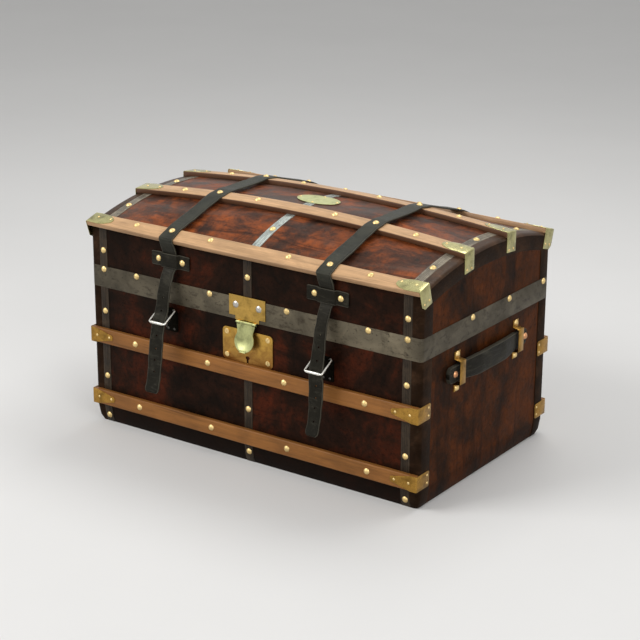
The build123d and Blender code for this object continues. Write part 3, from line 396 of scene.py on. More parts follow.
def edit(piece, kind, action="DESELECT"):
    """Open a piece in edit mode with nothing or everything selected."""
    activate(piece)
    bpy.ops.object.mode_set(mode="EDIT")
    bpy.ops.mesh.select_mode(type=kind)
    bpy.ops.mesh.select_all(action=action)


def turn_outwards(piece):
    """Make all faces point outwards."""
    edit(piece, "FACE", "SELECT")
    bpy.ops.mesh.normals_make_consistent(inside=False)
    clear_selection()


def pick_faces(piece, wanted):
    """Open a piece and select the faces whose centre and normal are wanted."""
    edit(piece, "FACE")
    mesh = bmesh.from_edit_mesh(piece.data)
    for face in mesh.faces:
        face.select_set(wanted(face.calc_center_median(), face.normal))
    bmesh.update_edit_mesh(piece.data)


def delete_faces(piece, unwanted):
    """Delete the faces whose centre and normal are unwanted."""
    pick_faces(piece, unwanted)
    bpy.ops.mesh.delete(type="FACE")
    clear_selection()


def cut(piece, axis, places):
    """Edge loops across a piece at places along an axis."""
    edit(piece, "FACE")
    direction = Vector([float(axis == n) for n in range(3)])
    for place in places:
        bpy.ops.mesh.select_all(action="SELECT")
        bpy.ops.mesh.bisect(plane_co=direction * place, plane_no=direction)
    clear_selection()


def spread(low, high, count):
    """Evenly spaced places between two ends."""
    return [low + (high - low) * n / count for n in range(1, count)]


def apply_modifier(piece, kind, **settings):
    """Add a modifier with its settings and apply it."""
    activate(piece)
    modifier = piece.modifiers.new(kind, kind)
    for key, value in settings.items():
        setattr(modifier, key, value)
    bpy.ops.object.modifier_apply(modifier=modifier.name)


def round_edges(piece, width, segments=2, angle=35):
    """Round every sharp edge."""
    apply_modifier(piece, "BEVEL", width=width, segments=segments, limit_method="ANGLE",
                   angle_limit=math.radians(angle), use_clamp_overlap=True)


def thicken(piece, thickness, offset=1):
    """Give a sheet its thickness, outwards for an offset of 1."""
    apply_modifier(piece, "SOLIDIFY", thickness=thickness, offset=offset, use_even_offset=True)


def carve(piece, tool):
    """Cut the shape of a tool out of a piece and remove the tool."""
    apply_modifier(piece, "BOOLEAN", operation="DIFFERENCE", solver="EXACT", object=tool)
    bpy.data.objects.remove(tool)


def smooth(piece, angle=40):
    """Smooth shading with creases kept."""
    activate(piece)
    bpy.ops.object.shade_smooth_by_angle(angle=math.radians(angle))


def remember_across(piece, rule):
    """Keep each point's place across the piece, -1 to 1, from before the piece is bent."""
    kept = piece.data.attributes.new("across", "FLOAT", "POINT")
    kept.data.foreach_set("value", [rule(vertex.co) for vertex in piece.data.vertices])


def shape(piece, rule):
    """Move each point of a piece to its place on the trunk."""
    for vertex in piece.data.vertices:
        vertex.co = rule(vertex.co)
    piece.data.update()


def copy_of(piece, name, rule):
    """A copy of a piece with its own mesh, put in another place."""
    activate(piece)
    bpy.ops.object.duplicate(linked=False)
    other = bpy.context.active_object
    other.name = name
    shape(other, rule)
    return other


def from_node(node, name, rounding=0.0):
    """A merged copy of a solid's mesh, with its edges rounded."""
    piece = bpy.data.objects.new(name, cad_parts[node].data.copy())
    bpy.context.scene.collection.objects.link(piece)
    activate(piece)
    bpy.ops.mesh.customdata_custom_splitnormals_clear()
    edit(piece, "FACE", "SELECT")
    bpy.ops.mesh.remove_doubles(threshold=merge_distance)
    bpy.ops.mesh.dissolve_limited(angle_limit=math.radians(1))
    clear_selection()
    if rounding:
        round_edges(piece, rounding)
    return piece


def coat(mesh, materials, pick=None):
    """Give a mesh one material, or several and a rule that picks one by its number for each face."""
    mesh.materials.clear()
    for material in materials if isinstance(materials, tuple) else (materials,):
        mesh.materials.append(material)
    if pick:
        for face in mesh.polygons:
            face.material_index = int(pick(face))


def paint(material, *nodes):
    """Give solids that stay in view their material."""
    for name in nodes:
        coat(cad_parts[name].data, material)


def settle(piece, body, slot, materials, *nodes, pick=None, angle=40):
    """Smooth a finished piece and give it its materials, body, slot and the solids it stands for."""
    if angle:
        smooth(piece, angle)
    coat(piece.data, materials, pick)
    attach(piece, body)
    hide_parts(*nodes)


# Shapes of the trunk
def dome_arc(x):
    """Radius and centre height of the dome at a place along the length."""
    rise = end_rise + (middle_rise - end_rise) * (1 - (x / half_length) ** 2)
    radius = (half_depth ** 2 + rise ** 2) / (2 * rise)
    return radius, lid_edge_z + rise - radius


def on_dome(x, y, height, across=0.0):
    """Point above the dome at a place, moved across along the arc."""
    radius, centre = dome_arc(x)
    angle = math.asin(y / radius) + across / radius
    reach = radius + height
    return Vector((x, reach * math.sin(angle), centre + reach * math.cos(angle)))


def trim_cuts(piece, level):
    """Cut a shell where its strips, edge leathers and lower trim begin and end, and round its corners."""
    cut(piece, 0, [side * place for side in signs for place in (strip_half, strip_x - strip_half, binding_x)])
    cut(piece, 1, [side * (half_depth - edge_wrap) for side in signs])
    cut(piece, 2, [level])
    round_edges(piece, corner_round, segments=5, angle=40)


def lid_shell(name):
    """Open sheet over the lid's top and sides."""
    piece = new_sheet(name, 2 * half_length, 2 * half_depth, dome_cuts)
    shape(piece, lambda p: on_dome(p.x, p.y, 0))
    edit(piece, "EDGE")
    bpy.ops.mesh.select_non_manifold(extend=False, use_wire=False, use_boundary=True,
                                     use_multi_face=False, use_non_contiguous=False, use_verts=False)
    for drop in (edge_wrap, edge_wrap):
        bpy.ops.mesh.extrude_region_move(TRANSFORM_OT_translate={"value": (0, 0, -drop)})
    bpy.ops.transform.resize(value=(1, 1, 0), center_override=(0, 0, rim_z))
    turn_outwards(piece)
    trim_cuts(piece, band_top_z)
    return piece


def case_shell(name):
    """Open sheet round the case, drawn in at the foot."""
    piece = new_box(name, (-half_length, -half_depth, skirt_z), (half_length, half_depth, rim_z))
    pick_faces(piece, lambda centre, normal: normal.z < -facing)
    levels = ((skirt_z, 0.0), (skirt_step_z, skirt_step_inset), (0.0, skirt_inset))
    for (z, inset), (next_z, next_inset) in zip(levels, levels[1:]):
        bpy.ops.mesh.extrude_region_move(TRANSFORM_OT_translate={"value": (0, 0, next_z - z)})
        bpy.ops.transform.resize(value=((half_length - next_inset) / (half_length - inset),
                                        (half_depth - next_inset) / (half_depth - inset), 1),
                                 center_override=(0, 0, next_z))
    delete_faces(piece, lambda centre, normal: abs(normal.z) > facing)
    trim_cuts(piece, upper_slat_z - case_slat_half)
    return piece


def lay_trim(name, shell, wanted, thickness, body, slot, materials, node, pick=None):
    """Keep the wanted part of a shell and thicken it outwards, but not into the floor."""
    piece = shell(name)
    delete_faces(piece, lambda centre, normal: not wanted(centre, normal))
    thicken(piece, thickness)
    shape(piece, lambda p: Vector((p.x, p.y, max(p.z, 0.0))))
    round_edges(piece, sizes().metal_round, angle=60)
    settle(piece, body, slot, materials, node, pick=pick)


# Materials
warm_gloss = (1.0, 0.78, 0.58)
strap_gloss = (1.0, 0.94, 0.8)
# Heights between which the straps take the lighter tone that they have over the lid, a painted sheen
strap_sheen_fade = (405 * MM, 450 * MM)
# Line pressed along the straps: its way from the edge, and half its width
pressed_inset = 2.6 * MM
pressed_half = 0.5 * MM


def dim(tone, share):
    """A darker or lighter version of a colour."""
    return tuple(min(1.0, part * share) for part in tuple(tone)[:3])


class Nodes:
    """A node tree, with short ways to build up a pattern."""

    def __init__(self, tree):
        self.tree = tree

    def feed(self, socket, value):
        """Link a socket, or set its value; a colour gets its fourth part."""
        if isinstance(value, bpy.types.NodeSocket):
            self.tree.links.new(value, socket)
        elif socket.type == "RGBA":
            socket.default_value = (*tuple(value)[:3], 1)
        else:
            socket.default_value = value

    def add(self, kind, output, inputs=None, **settings):
        """Add a node with its settings and inputs, and give back one of its outputs."""
        node = self.tree.nodes.new("ShaderNode" + kind)
        for key, value in settings.items():
            setattr(node, key, value)
        for key, value in (inputs or {}).items():
            self.feed(node.inputs[key], value)
        return node.outputs[output]

    def maths(self, operation, *values):
        """Arithmetic on values or outputs."""
        return self.add("Math", "Value", dict(enumerate(values)), operation=operation)

    def weigh(self, *parts):
        """Sum of several (value, share) pairs."""
        total = 0.0
        for value, share in parts:
            total = self.maths("ADD", total, self.maths("MULTIPLY", value, share))
        return total

    def between(self, value, low, high):
        """Where a value lies between two ends, from 0 to 1."""
        return self.maths("DIVIDE", self.maths("SUBTRACT", value, low), high - low)

    def ramp(self, value, *stops):
        """Colours or greys along a value; each stop is a place and a colour or a grey."""
        node = self.tree.nodes.new("ShaderNodeValToRGB")
        elements = node.color_ramp.elements
        while len(elements) < len(stops):
            elements.new(0.5)
        for element, (place, tone) in zip(elements, stops):
            element.position = place
            tone = (tone, tone, tone) if isinstance(tone, (int, float)) else tuple(tone)
            element.color = (*tone[:3], 1)
        self.tree.links.new(value, node.inputs["Fac"])
        return node.outputs["Color"]

    def tones(self, value, main, *stops):
        """Darker and lighter versions of a colour along a value."""
        return self.ramp(value, *((place, dim(main, share)) for place, share in stops))

    def mix(self, share, first, second, blend="MIX"):
        """Blend of two colours."""
        return self.add("Mix", 2, {0: share, 6: first, 7: second}, data_type="RGBA", blend_type=blend)

    def over(self, tone, cover, pattern, *stops):
        """Lay a second colour over a tone, as strongly as a pattern's stops say."""
        return self.mix(self.ramp(pattern, *stops), tone, cover)

    def shade(self, tone, pattern, *stops):
        """Darken or lighten a tone by a pattern's stops."""
        return self.mix(1.0, tone, self.ramp(pattern, *stops), "MULTIPLY")


class Look(Nodes):
    """A new material, with patterns on its Object coordinates."""

    def __init__(self, name):
        self.material = bpy.data.materials.new(name)
        self.material.use_nodes = True
        super().__init__(self.material.node_tree)
        self.shader = self.tree.nodes["Principled BSDF"]
        self.place = self.add("TexCoord", "Object")

    def noise(self, scale, detail, roughness=0.55, distortion=0.0, stretch=None, shift=(0, 0, 0)):
        """Cloudy pattern from 0 to 1, on coordinates that may be stretched and moved."""
        place = self.place
        if stretch:
            place = self.add("Mapping", "Vector", {"Vector": place, "Scale": stretch, "Location": shift})
        return self.add("TexNoise", "Fac", {"Vector": place, "Scale": scale, "Detail": detail,
                                            "Roughness": roughness, "Distortion": distortion})

    def axis(self, name):
        """One of the three coordinates."""
        return self.add("SeparateXYZ", name, {"Vector": self.place})

    def edge(self):
        """How near a point is to the piece's long edges, from 0 to 1."""
        return self.maths("ABSOLUTE", self.add("Attribute", "Fac", attribute_name="across"))

    def finish(self, tone, roughness, relief=(), depth=0.0, metallic=0.0, gloss=0.5, tint=(1, 1, 1)):
        """Give the shader its tone, its roughness, its gloss and its relief of a depth."""
        values = {"Base Color": tone, "Roughness": roughness, "Metallic": metallic,
                  "Specular IOR Level": gloss, "Specular Tint": tint}
        if relief:
            values["Normal"] = self.add("Bump", "Normal", {"Distance": depth, "Height": self.weigh(*relief)})
        for key, value in values.items():
            self.feed(self.shader.inputs[key], value)
        return self.material


def case_leather(name, main, worn, patch, seed, streak, gloss, sheen_share, foot):
    """Polished, mottled leather with rubbed patches, streaks, grey bloom and a dark foot.

    A patch is the place in the pattern where the rubbed tone starts and where it is full. A streak is
    how finely the streaks run along each axis. The rest says how strong each finish is.
    """
    look = Look(name)
    shift = (seed, seed * 0.7, seed * 1.3)
    clouds = look.noise(7, 5, 0.6, 0.9, (1, 1, 1), shift)
    patches = look.noise(26, 8, 0.68, 0.5, (1, 1, 1), shift)
    specks = look.noise(130, 6, 0.7, 0.0, (1, 1, 1), shift)
    fine = look.noise(900, 3, 0.6)
    streaks = look.noise(1, 7, 0.66, 1.2, streak, (seed, 0, 0))
    sheen = look.noise(1, 7, 0.62, 0.8, (3, 9, 9), (seed, 1, 2))
    start, full = patch
    dark = looks().leather_dark
    tone = look.ramp(look.weigh((clouds, 0.6), (patches, 0.4)),
                     (start - 0.11, dark), (start, main), (full, worn))
    tone = look.shade(tone, specks, (0.3, 0.3), (0.46, 1.0), (0.7, 1.15))
    tone = look.over(tone, dark, streaks, (0.5, 0.0), (0.66, 0.7))
    # Painted sheen: grey laid over the lid's top where the pattern says
    tone = look.over(tone, looks().leather_haze, sheen, (0.48, 0.0), (0.66, sheen_share))
    # Painted shade over the drawn-in foot, fading out above it
    tone = look.over(tone, dark, look.axis("Z"), (skirt_z, foot), (skirt_z + foot_shade_fade, 0.0))
    return look.finish(tone, look.ramp(patches, (0.3, 0.32), (0.7, 0.5)),
                       [(patches, 1.0), (specks, 0.35), (fine, 0.12)], 0.9 * MM,
                       gloss=gloss, tint=warm_gloss)


def edge_leather(name, main, gloss):
    """Dark, creased leather of the edges."""
    look = Look(name)
    clouds = look.noise(22, 7, 0.66, 0.4)
    creases = look.noise(1, 6, 0.7, 1.2, (60, 60, 220))
    tone = look.tones(clouds, main, (0.3, 0.35), (0.5, 1.0), (0.7, 2.6))
    # Paler creases, scaled by the gloss: rubbed wear, and on lit tops also painted sheen
    tone = look.over(tone, looks().strap_worn, creases, (0.56, 0.0), (0.72, 3 * gloss))
    return look.finish(tone, look.ramp(clouds, (0.3, 0.36), (0.7, 0.55)),
                       [(clouds, 0.6), (creases, 0.4)], 1.2 * MM, gloss=gloss, tint=warm_gloss)


def ruled_strip(name, main, metallic, middle_x):
    """Strip with raised lines along it, at one distance from the middle of the trunk."""
    look = Look(name)
    off = look.maths("SUBTRACT", look.maths("ABSOLUTE", look.axis("X")), middle_x)
    share = look.maths("ABSOLUTE", look.maths("DIVIDE", off, strip_half))
    lines = look.ramp(share, (0.0, 0.6), (0.06, 0.6), (0.13, 0.0), (0.33, 0.0), (0.38, 0.8), (0.43, 0.8),
                      (0.48, 0.0), (0.66, 0.0), (0.71, 1.0), (0.79, 1.0), (0.85, 0.1), (1.0, 0.6))
    clouds = look.noise(30, 8, 0.7, 0.6)
    scratches = look.noise(1, 5, 0.7, 0.0, (400, 40, 40))
    tone = look.tones(clouds, main, (0.3, 0.35), (0.5, 0.85), (0.72, 1.7))
    # Painted highlights: the raised lines are made paler
    tone = look.over(tone, dim(main, 2.6), look.maths("MULTIPLY", lines, clouds), (0.2, 0.0), (0.5, 0.7))
    tone = look.over(tone, dim(main, 0.25), scratches, (0.32, 0.7), (0.5, 0.0))
    return look.finish(tone, look.ramp(clouds, (0.3, 0.34), (0.7, 0.55)),
                       [(lines, 1.0), (clouds, 0.5), (scratches, 0.2)], 0.7 * MM,
                       metallic=metallic, gloss=0.2)


def rim_iron():
    """Dull iron sheet with cloudy wear, stains and small pits, polished towards the right."""
    look = Look("rim_iron")
    clouds = look.noise(14, 6, 0.6, 0.6)
    stains = look.noise(42, 6, 0.66, 0.3, (1, 1, 2.2), (3, 1, 2))
    pits = look.noise(170, 4, 0.6)
    tone = look.tones(clouds, looks().band, (0.3, 0.6), (0.5, 1.0), (0.7, 1.5))
    tone = look.over(tone, looks().band_stain, stains, (0.34, 0.7), (0.47, 0.0))
    tone = look.over(tone, dim(looks().band_stain, 0.4), pits, (0.31, 0.85), (0.38, 0.0))
    # Painted light along the length: dark at the left end, brightest near the right corner
    tone = look.shade(tone, look.between(look.axis("X"), -half_length, half_length),
                      (0.0, 0.65), (0.5, 0.95), (0.95, 1.35), (1.0, 0.7))
    return look.finish(tone, look.ramp(clouds, (0.3, 0.6), (0.7, 0.4)),
                       [(clouds, 1.0), (stains, 0.3), (pits, 0.12)], 1.0 * MM, metallic=0.45, gloss=0.3)


def slat_wood(name, main, side_shade_tone, side_shade_share):
    """Waxed wood with its grain along the trunk, and sides of another tone."""
    look = Look(name)
    grain = look.noise(1, 8, 0.62, 0.9, (5, 130, 130))
    fine = look.noise(1, 4, 0.6, 0.0, (22, 900, 900))
    clouds = look.noise(9, 5, 0.6, 0.5, (1, 2, 2))
    tone = look.tones(grain, main, (0.28, 0.45), (0.43, 0.85), (0.6, 1.0), (0.72, 1.25))
    tone = look.over(tone, dim(main, 0.5), clouds, (0.35, 0.6), (0.55, 0.0))
    tone = look.over(tone, dim(main, 0.42), fine, (0.34, 0.6), (0.44, 0.0))
    # Painted shade on the slats' sides, with a ragged border
    side_shade_mask = look.weigh((look.edge(), 1.0), (clouds, 0.06))
    tone = look.over(tone, side_shade_tone, side_shade_mask, (0.96, 0.0), (1.0, side_shade_share))
    return look.finish(tone, look.ramp(grain, (0.3, 0.52), (0.7, 0.38)),
                       [(grain, 0.6), (fine, 0.3)], 0.35 * MM, gloss=0.25)


def sheet_metal(name, main, roughness, tarnish, dents=1.0, fade=None):
    """Worn, polished metal with faint dents and tarnish; a fade is its low tone with its low and high end."""
    look = Look(name)
    clouds = look.noise(42, 6, 0.6, 0.4)
    spots = look.noise(210, 6, 0.72)
    tone = look.tones(clouds, main, (0.32, 1 - 0.76 * tarnish), (0.5, 1.0), (0.68, 1 + 0.3 * tarnish))
    if fade:
        low_tone, low, high = fade
        height = look.between(look.axis("Z"), low, high)
        height = look.weigh((height, 1.0), (look.maths("SUBTRACT", clouds, 0.5), 1.6))
        tone = look.mix(look.ramp(height, (0.1, 0.0), (0.8, 1.0)), low_tone, tone)
    tone = look.over(tone, dim(main, 0.28), spots, (0.3, tarnish), (0.44, 0.0))
    return look.finish(tone, look.ramp(clouds, (0.3, roughness + 0.14), (0.7, roughness)),
                       [(clouds, dents), (spots, 0.15 * dents)], 0.35 * MM, metallic=1.0)


def strap_leather(name, half_width, grain=(30, 160, 160)):
    """Black leather with a pressed line and worn edges, by the strap's own width."""
    look = Look(name)
    clouds = look.noise(24, 7, 0.66, 0.5)
    creases = look.noise(1, 6, 0.7, 1.0, grain)
    fine = look.noise(800, 3, 0.6)
    edge = look.edge()
    middle = 1 - pressed_inset / half_width
    half = pressed_half / half_width
    line = look.ramp(edge, (middle - 2 * half, 0.0), (middle - half, 1.0),
                     (middle + half, 1.0), (middle + 2 * half, 0.0))
    worn = looks().strap_worn
    # Painted sheen: the straps turn lighter as they rise over the lid
    tone = look.over(looks().strap, looks().strap_top, look.axis("Z"),
                     (strap_sheen_fade[0], 0.0), (strap_sheen_fade[1], 1.0))
    tone = look.shade(tone, clouds, (0.3, 0.5), (0.5, 1.0), (0.72, 1.0))
    tone = look.over(tone, worn, clouds, (0.52, 0.0), (0.74, 0.25))
    tone = look.over(tone, worn, look.weigh((edge, 1.0), (clouds, 0.16)), (0.98, 0.0), (1.1, 0.35))
    tone = look.mix(look.maths("MULTIPLY", line, 0.45), tone, dim(looks().strap, 0.3))
    tone = look.over(tone, worn, creases, (0.55, 0.0), (0.72, 0.28))
    return look.finish(tone, look.ramp(clouds, (0.3, 0.38), (0.7, 0.58)),
                       [(clouds, 0.6), (creases, 0.45), (fine, 0.2), (line, -0.4)], 1.3 * MM,
                       gloss=0.13, tint=strap_gloss)


def lining_cloth():
    """Pasted cloth with a plain weave and faint stains."""
    look = Look("lining_cloth")
    clouds = look.noise(6, 6, 0.6, 0.3)
    weave = look.maths("ADD", look.noise(1, 2, stretch=(1600, 90, 90)),
                       look.noise(1, 2, stretch=(90, 1600, 1600)))
    tone = look.tones(clouds, looks().lining, (0.3, 0.62), (0.55, 1.0), (0.8, 1.1))
    return look.finish(tone, 0.85, [(weave, 0.5)], 0.4 * MM)


def plain_board():
    """Planed pine."""
    look = Look("plain_board")
    grain = look.noise(1, 7, 0.6, 1.0, (6, 60, 60))
    tone = look.tones(grain, looks().pine, (0.3, 0.6), (0.5, 1.0), (0.75, 1.15))
    return look.finish(tone, 0.6, [(grain, 0.5)], 0.3 * MM)


def floor_paint():
    """Pale, faintly cloudy floor."""
    look = Look("pale_floor")
    tone = look.tones(look.noise(1.5, 4), looks().floor, (0.3, 0.97), (0.7, 1.0))
    return look.finish(tone, 0.75)


# Stage
camera_place = Vector((2.09431, -2.98941, 1.49589))
camera_yaw = math.radians(-34.955)
camera_pitch = math.radians(-19.06)
camera_roll = math.radians(0.282)
camera_lens = 105.33
floor_size = 60.0
# World light on the object, and what is added where the camera, metal or glass sees the world
world_light = 0.42
world_seen = 0.5
# Each lamp's name, place, target, width, height and power
lamps = (
    ("key_light", (-1.6, -2.2, 2.6), (0, 0, 0.3), 1.8, 1.4, 62),
    ("fill_light", (2.6, -1.6, 1.6), (0.2, 0, 0.25), 1.6, 1.6, 26),
    ("top_light", (0.3, 1.2, 2.8), (0, 0, 0.4), 2.2, 1.2, 34),
)


def soft_light(name, place, target, width, height, power):
    """Rectangular lamp that faces a target."""
    clear_selection()
    bpy.ops.object.light_add(type="AREA", location=place)
    lamp = bpy.context.active_object
    lamp.name = name
    lamp.data.shape = "RECTANGLE"
    lamp.data.size = width
    lamp.data.size_y = height
    lamp.data.energy = power
    lamp.rotation_euler = (Vector(target) - Vector(place)).to_track_quat("-Z", "Y").to_euler()


def make_world():
    """White surroundings that light the object less than they show."""
    world = bpy.data.worlds.new("studio")
    bpy.context.scene.world = world
    world.use_nodes = True
    sky = Nodes(world.node_tree)
    rays = sky.tree.nodes.new("ShaderNodeLightPath").outputs
    seen = sky.maths("MAXIMUM", rays["Is Camera Ray"], rays["Is Glossy Ray"])
    seen = sky.maths("MAXIMUM", seen, rays["Is Transmission Ray"])
    background = sky.tree.nodes["Background"].inputs
    sky.feed(background["Strength"], sky.maths("ADD", world_light, sky.maths("MULTIPLY", seen, world_seen)))
    sky.feed(background["Color"], (1, 1, 1))


def make_stage():
    """Pale floor, soft lamps, world and camera."""
    scene = bpy.context.scene
    scene.view_settings.view_transform = "Standard"
    clear_selection()
    bpy.ops.mesh.primitive_plane_add(size=floor_size, location=(0, 0, 0))
    floor = named("floor")
    coat(floor.data, floor_paint())
    for lamp in lamps:
        soft_light(*lamp)
    make_world()
    forward = Vector((math.sin(camera_yaw) * math.cos(camera_pitch),
                      math.cos(camera_yaw) * math.cos(camera_pitch), math.sin(camera_pitch)))
    right = forward.cross(Vector((0, 0, 1))).normalized()
    up = right.cross(forward)
    side = right * math.cos(camera_roll) + up * math.sin(camera_roll)
    top = up * math.cos(camera_roll) - right * math.sin(camera_roll)
    clear_selection()
    bpy.ops.object.camera_add(location=camera_place)
    camera = bpy.context.active_object
    camera.data.lens = camera_lens
    turn = Matrix((side, top, -forward)).transposed()
    camera.matrix_world = Matrix.Translation(camera_place) @ turn.to_4x4()
    scene.camera = camera


# Leather, boards and linings
def open_for_staple(piece):
    """Opening behind the lock plate for the hasp's staple."""
    plate_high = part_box("lock_plate")[1]
    window = new_box("staple_window", (-staple_room, front - staple_depth, keyhole_z + 2 * keyhole_reach),
                     (staple_room, front + staple_depth, plate_high.z - staple_room))
    carve(piece, window)


def make_leather():
    """Mottled leather over the case and the lid."""
    # One leather in painted light and shade: a darker copy for the front and back, a lighter one for the
    # lid's top
    shaded_front_look = case_leather("front_leather_shaded", looks().leather_front, looks().leather_front_worn,
                              patch=(0.5, 0.67), seed=0.0, streak=(4, 4, 14), gloss=0.06, sheen_share=0.0, foot=0.85)
    lit_top_look = case_leather("top_leather_lit", looks().leather_top, looks().leather_top_worn,
                            patch=(0.46, 0.58), seed=3.0, streak=(5, 34, 34), gloss=0.12, sheen_share=0.5, foot=0.0)
    end_look = case_leather("end_leather", looks().leather_end, looks().leather_end_worn,
                            patch=(0.46, 0.64), seed=7.0, streak=(9, 26, 4), gloss=0.03, sheen_share=0.0, foot=0.3)

    def by_side(face):
        """Number of the look: 2 on the ends, 1 on the lid's top and 0 elsewhere."""
        return 2 if abs(face.normal.x) > end_lean else face.normal.z > top_lean

    for piece, body, node in ((case_shell("case_cover"), "case", "base_leather"),
                              (lid_shell("lid_cover"), "lid", "lid_leather")):
        thicken(piece, cover_thickness, -1)
        if body == "case":
            open_for_staple(piece)
        settle(piece, body, "case_leather", (shaded_front_look, lit_top_look, end_look), node, pick=by_side)


def make_linings():
    """Pine boards and pasted cloth, which show when the trunk is open."""
    paint(lining_cloth(), "base_lining", "lid_lining")
    paint(plain_board(), "base_front_board", "base_rear_board", "base_end_board_left",
          "base_end_board_right", "base_bottom_board", "lid_front_board", "lid_rear_board",
          "lid_end_board_left", "lid_end_board_right", "lid_dome_board")


# Trim
def make_band():
    """Iron band round the lid's rim."""
    lay_trim("rim_band", lid_shell, lambda centre, normal: centre.z < band_top_z, band_thickness,
             "lid", "iron_band", rim_iron(), "lid_band")


def make_strips():
    """Ruled corner strips, and the zinc strip over the middle."""
    corner_look = ruled_strip("corner_strip", looks().strip, metallic=0.1, middle_x=strip_x)
    lit_corner_strip_look = ruled_strip("corner_strip_top", looks().strip_top, metallic=0.3, middle_x=strip_x)
    centre_look = ruled_strip("centre_wall_strip", looks().strip, metallic=0.1, middle_x=0.0)
    zinc_look = ruled_strip("centre_strip", looks().zinc, metallic=0.6, middle_x=0.0)
    inner_x = strip_x - strip_half

    def corner(centre, normal):
        return inner_x < abs(centre.x) < binding_x and abs(normal.x) < strip_lean

    def lid_corner(centre, normal):
        return corner(centre, normal) and centre.z > band_top_z

    def lid_centre(centre, normal):
        return abs(centre.x) < strip_half and centre.z > band_top_z

    def case_centre(centre, normal):
        return abs(centre.x) < strip_half and centre.z < upper_slat_z - case_slat_half

    # Faces over the dome: the corner strips take their lighter copy there, painted light, and the middle
    # strip its zinc
    def over_dome(face):
        return face.center.z > lid_edge_z - strip_half

    for name, shell, wanted, body, slot, look, node, pick in (
            ("lid_corner_strips", lid_shell, lid_corner, "lid", "strip", (corner_look, lit_corner_strip_look),
             "lid_end_strips", over_dome),
            ("lid_middle_strip", lid_shell, lid_centre, "lid", "zinc", (centre_look, zinc_look),
             "lid_centre_strip", over_dome),
            ("case_corner_strips", case_shell, corner, "case", "strip", corner_look,
             "base_corner_strips", None),
            ("case_middle_strips", case_shell, case_centre, "case", "zinc", centre_look,
             "base_centre_strips", None)):
        lay_trim(name, shell, wanted, trim_thickness, body, slot, look, node, pick)


def make_edging():
    """Dark leather over the lid's end edges and all upright corners."""
    wall_look = edge_leather("edge_leather", looks().edging, gloss=0.03)
    # Lighter copy for faces that look up: painted light from above
    lit_top_look = edge_leather("edge_leather_top_lit", dim(looks().edging, 2.6), gloss=0.15)
    wrap_y = half_depth - edge_wrap

    def lid_edge(centre, normal):
        if abs(centre.x) < binding_x or centre.z < band_top_z:
            return False
        below = on_dome(half_length, min(abs(centre.y), half_depth), 0).z - centre.z
        return abs(normal.x) < facing or abs(centre.y) > wrap_y or below < edge_wrap

    def case_edge(centre, normal):
        return abs(centre.x) > binding_x and (abs(centre.y) > wrap_y or abs(normal.x) < facing)

    for name, shell, wanted, body, node in (
            ("lid_edging", lid_shell, lid_edge, "lid", "lid_edge_leathers"),
            ("case_edging", case_shell, case_edge, "case", "base_edge_leathers")):
        lay_trim(name, shell, wanted, trim_thickness, body, "black_leather", (wall_look, lit_top_look), node,
                 lambda face: face.normal.z > edge_lean)


# Slats and clamps
def flat_slat(name, half_width):
    """A slat lying flat on the origin, along the trunk, with rounded edges and a kept width."""
    piece = new_box(name, (-slat_end_x, -half_width, 0), (slat_end_x, half_width, slat_thickness))
    round_edges(piece, sizes().wood_round, segments=3)
    cut(piece, 0, spread(-slat_end_x, slat_end_x, slat_cuts))
    remember_across(piece, lambda p: p.y / half_width)
    return piece


def make_slats():
    """Pale slats over the lid, and varnished ones round the case."""
    crown_look = slat_wood("crown_slat_wood", looks().pale_wood, looks().wood_side, side_shade_share=0.9)
    outer_look = slat_wood("outer_slat_wood", looks().pale_wood, looks().wood_side, side_shade_share=0.35)
    # The case slats' upper and lower sides are painted darker as shade too
    varnished = slat_wood("case_slat_wood", looks().front_wood, dim(looks().front_wood, 0.7), side_shade_share=0.6)
    for row, y, look in (("crown", crown_slat_y, crown_look), ("outer", outer_slat_y, outer_look)):
        for side, word in walls.items():
            piece = flat_slat(f"{row}_slat_{word}", slat_half)
            shape(piece, lambda p: on_dome(p.x, side * y, p.z, p.y))
            settle(piece, "lid", "pale_slat", look, f"lid_slats_{row}")
    for side, word in walls.items():
        for level, z in case_slats.items():
            piece = flat_slat(f"case_slat_{word}_{level}", case_slat_half)
            shape(piece, lambda p: Vector((side * -p.x, side * (half_depth + p.z), z + p.y)))
            settle(piece, "case", "front_slat", varnished, f"base_slats_{word}")


def wing(length, half_width, corner):
    """Half the outline of a clamp's wing, with its corner cut off."""
    return [(length - corner, half_width), (length, half_width - corner)]


def fold(a, c):
    """Where a point of the flat sheet comes to lie: its way back from the slat's end, and its drop."""
    if a <= 0:
        return clamp_bend - a, -c
    if a < clamp_bend_length:
        angle = a / clamp_bend
        return (clamp_bend - (clamp_bend + c) * math.sin(angle),
                clamp_bend - (clamp_bend + c) * math.cos(angle))
    return -c, clamp_bend + a - clamp_bend_length


def leaf_outline(shares, half_width):
    """Half the outline of a part of a clamp's leaf, from its shares."""
    return [(-along * clamp_leaf, across * half_width) for along, across in shares]


def make_clamp(name, leaf, inner_wing, outer_wing, place, body, look, node):
    """Brass cap, cut flat with its leaf along -X and a wing along +X, then folded over a slat's end."""
    upper = leaf[::-1] + outer_wing
    lower = leaf[::-1] + inner_wing
    piece = new_plate(name, upper + [(a, -b) for a, b in lower[::-1]], clamp_thickness)
    leaf_cuts, bend_cuts = clamp_cuts
    bends = [clamp_bend_length * n / bend_cuts for n in range(bend_cuts + 1)]
    cut(piece, 0, spread(-clamp_leaf, 0, leaf_cuts) + bends)
    cut(piece, 1, [-clamp_tip_half, 0, clamp_tip_half])
    round_edges(piece, sizes().metal_round, angle=50)
    shape(piece, place)
    turn_outwards(piece)
    settle(piece, body, "brass", look, node)


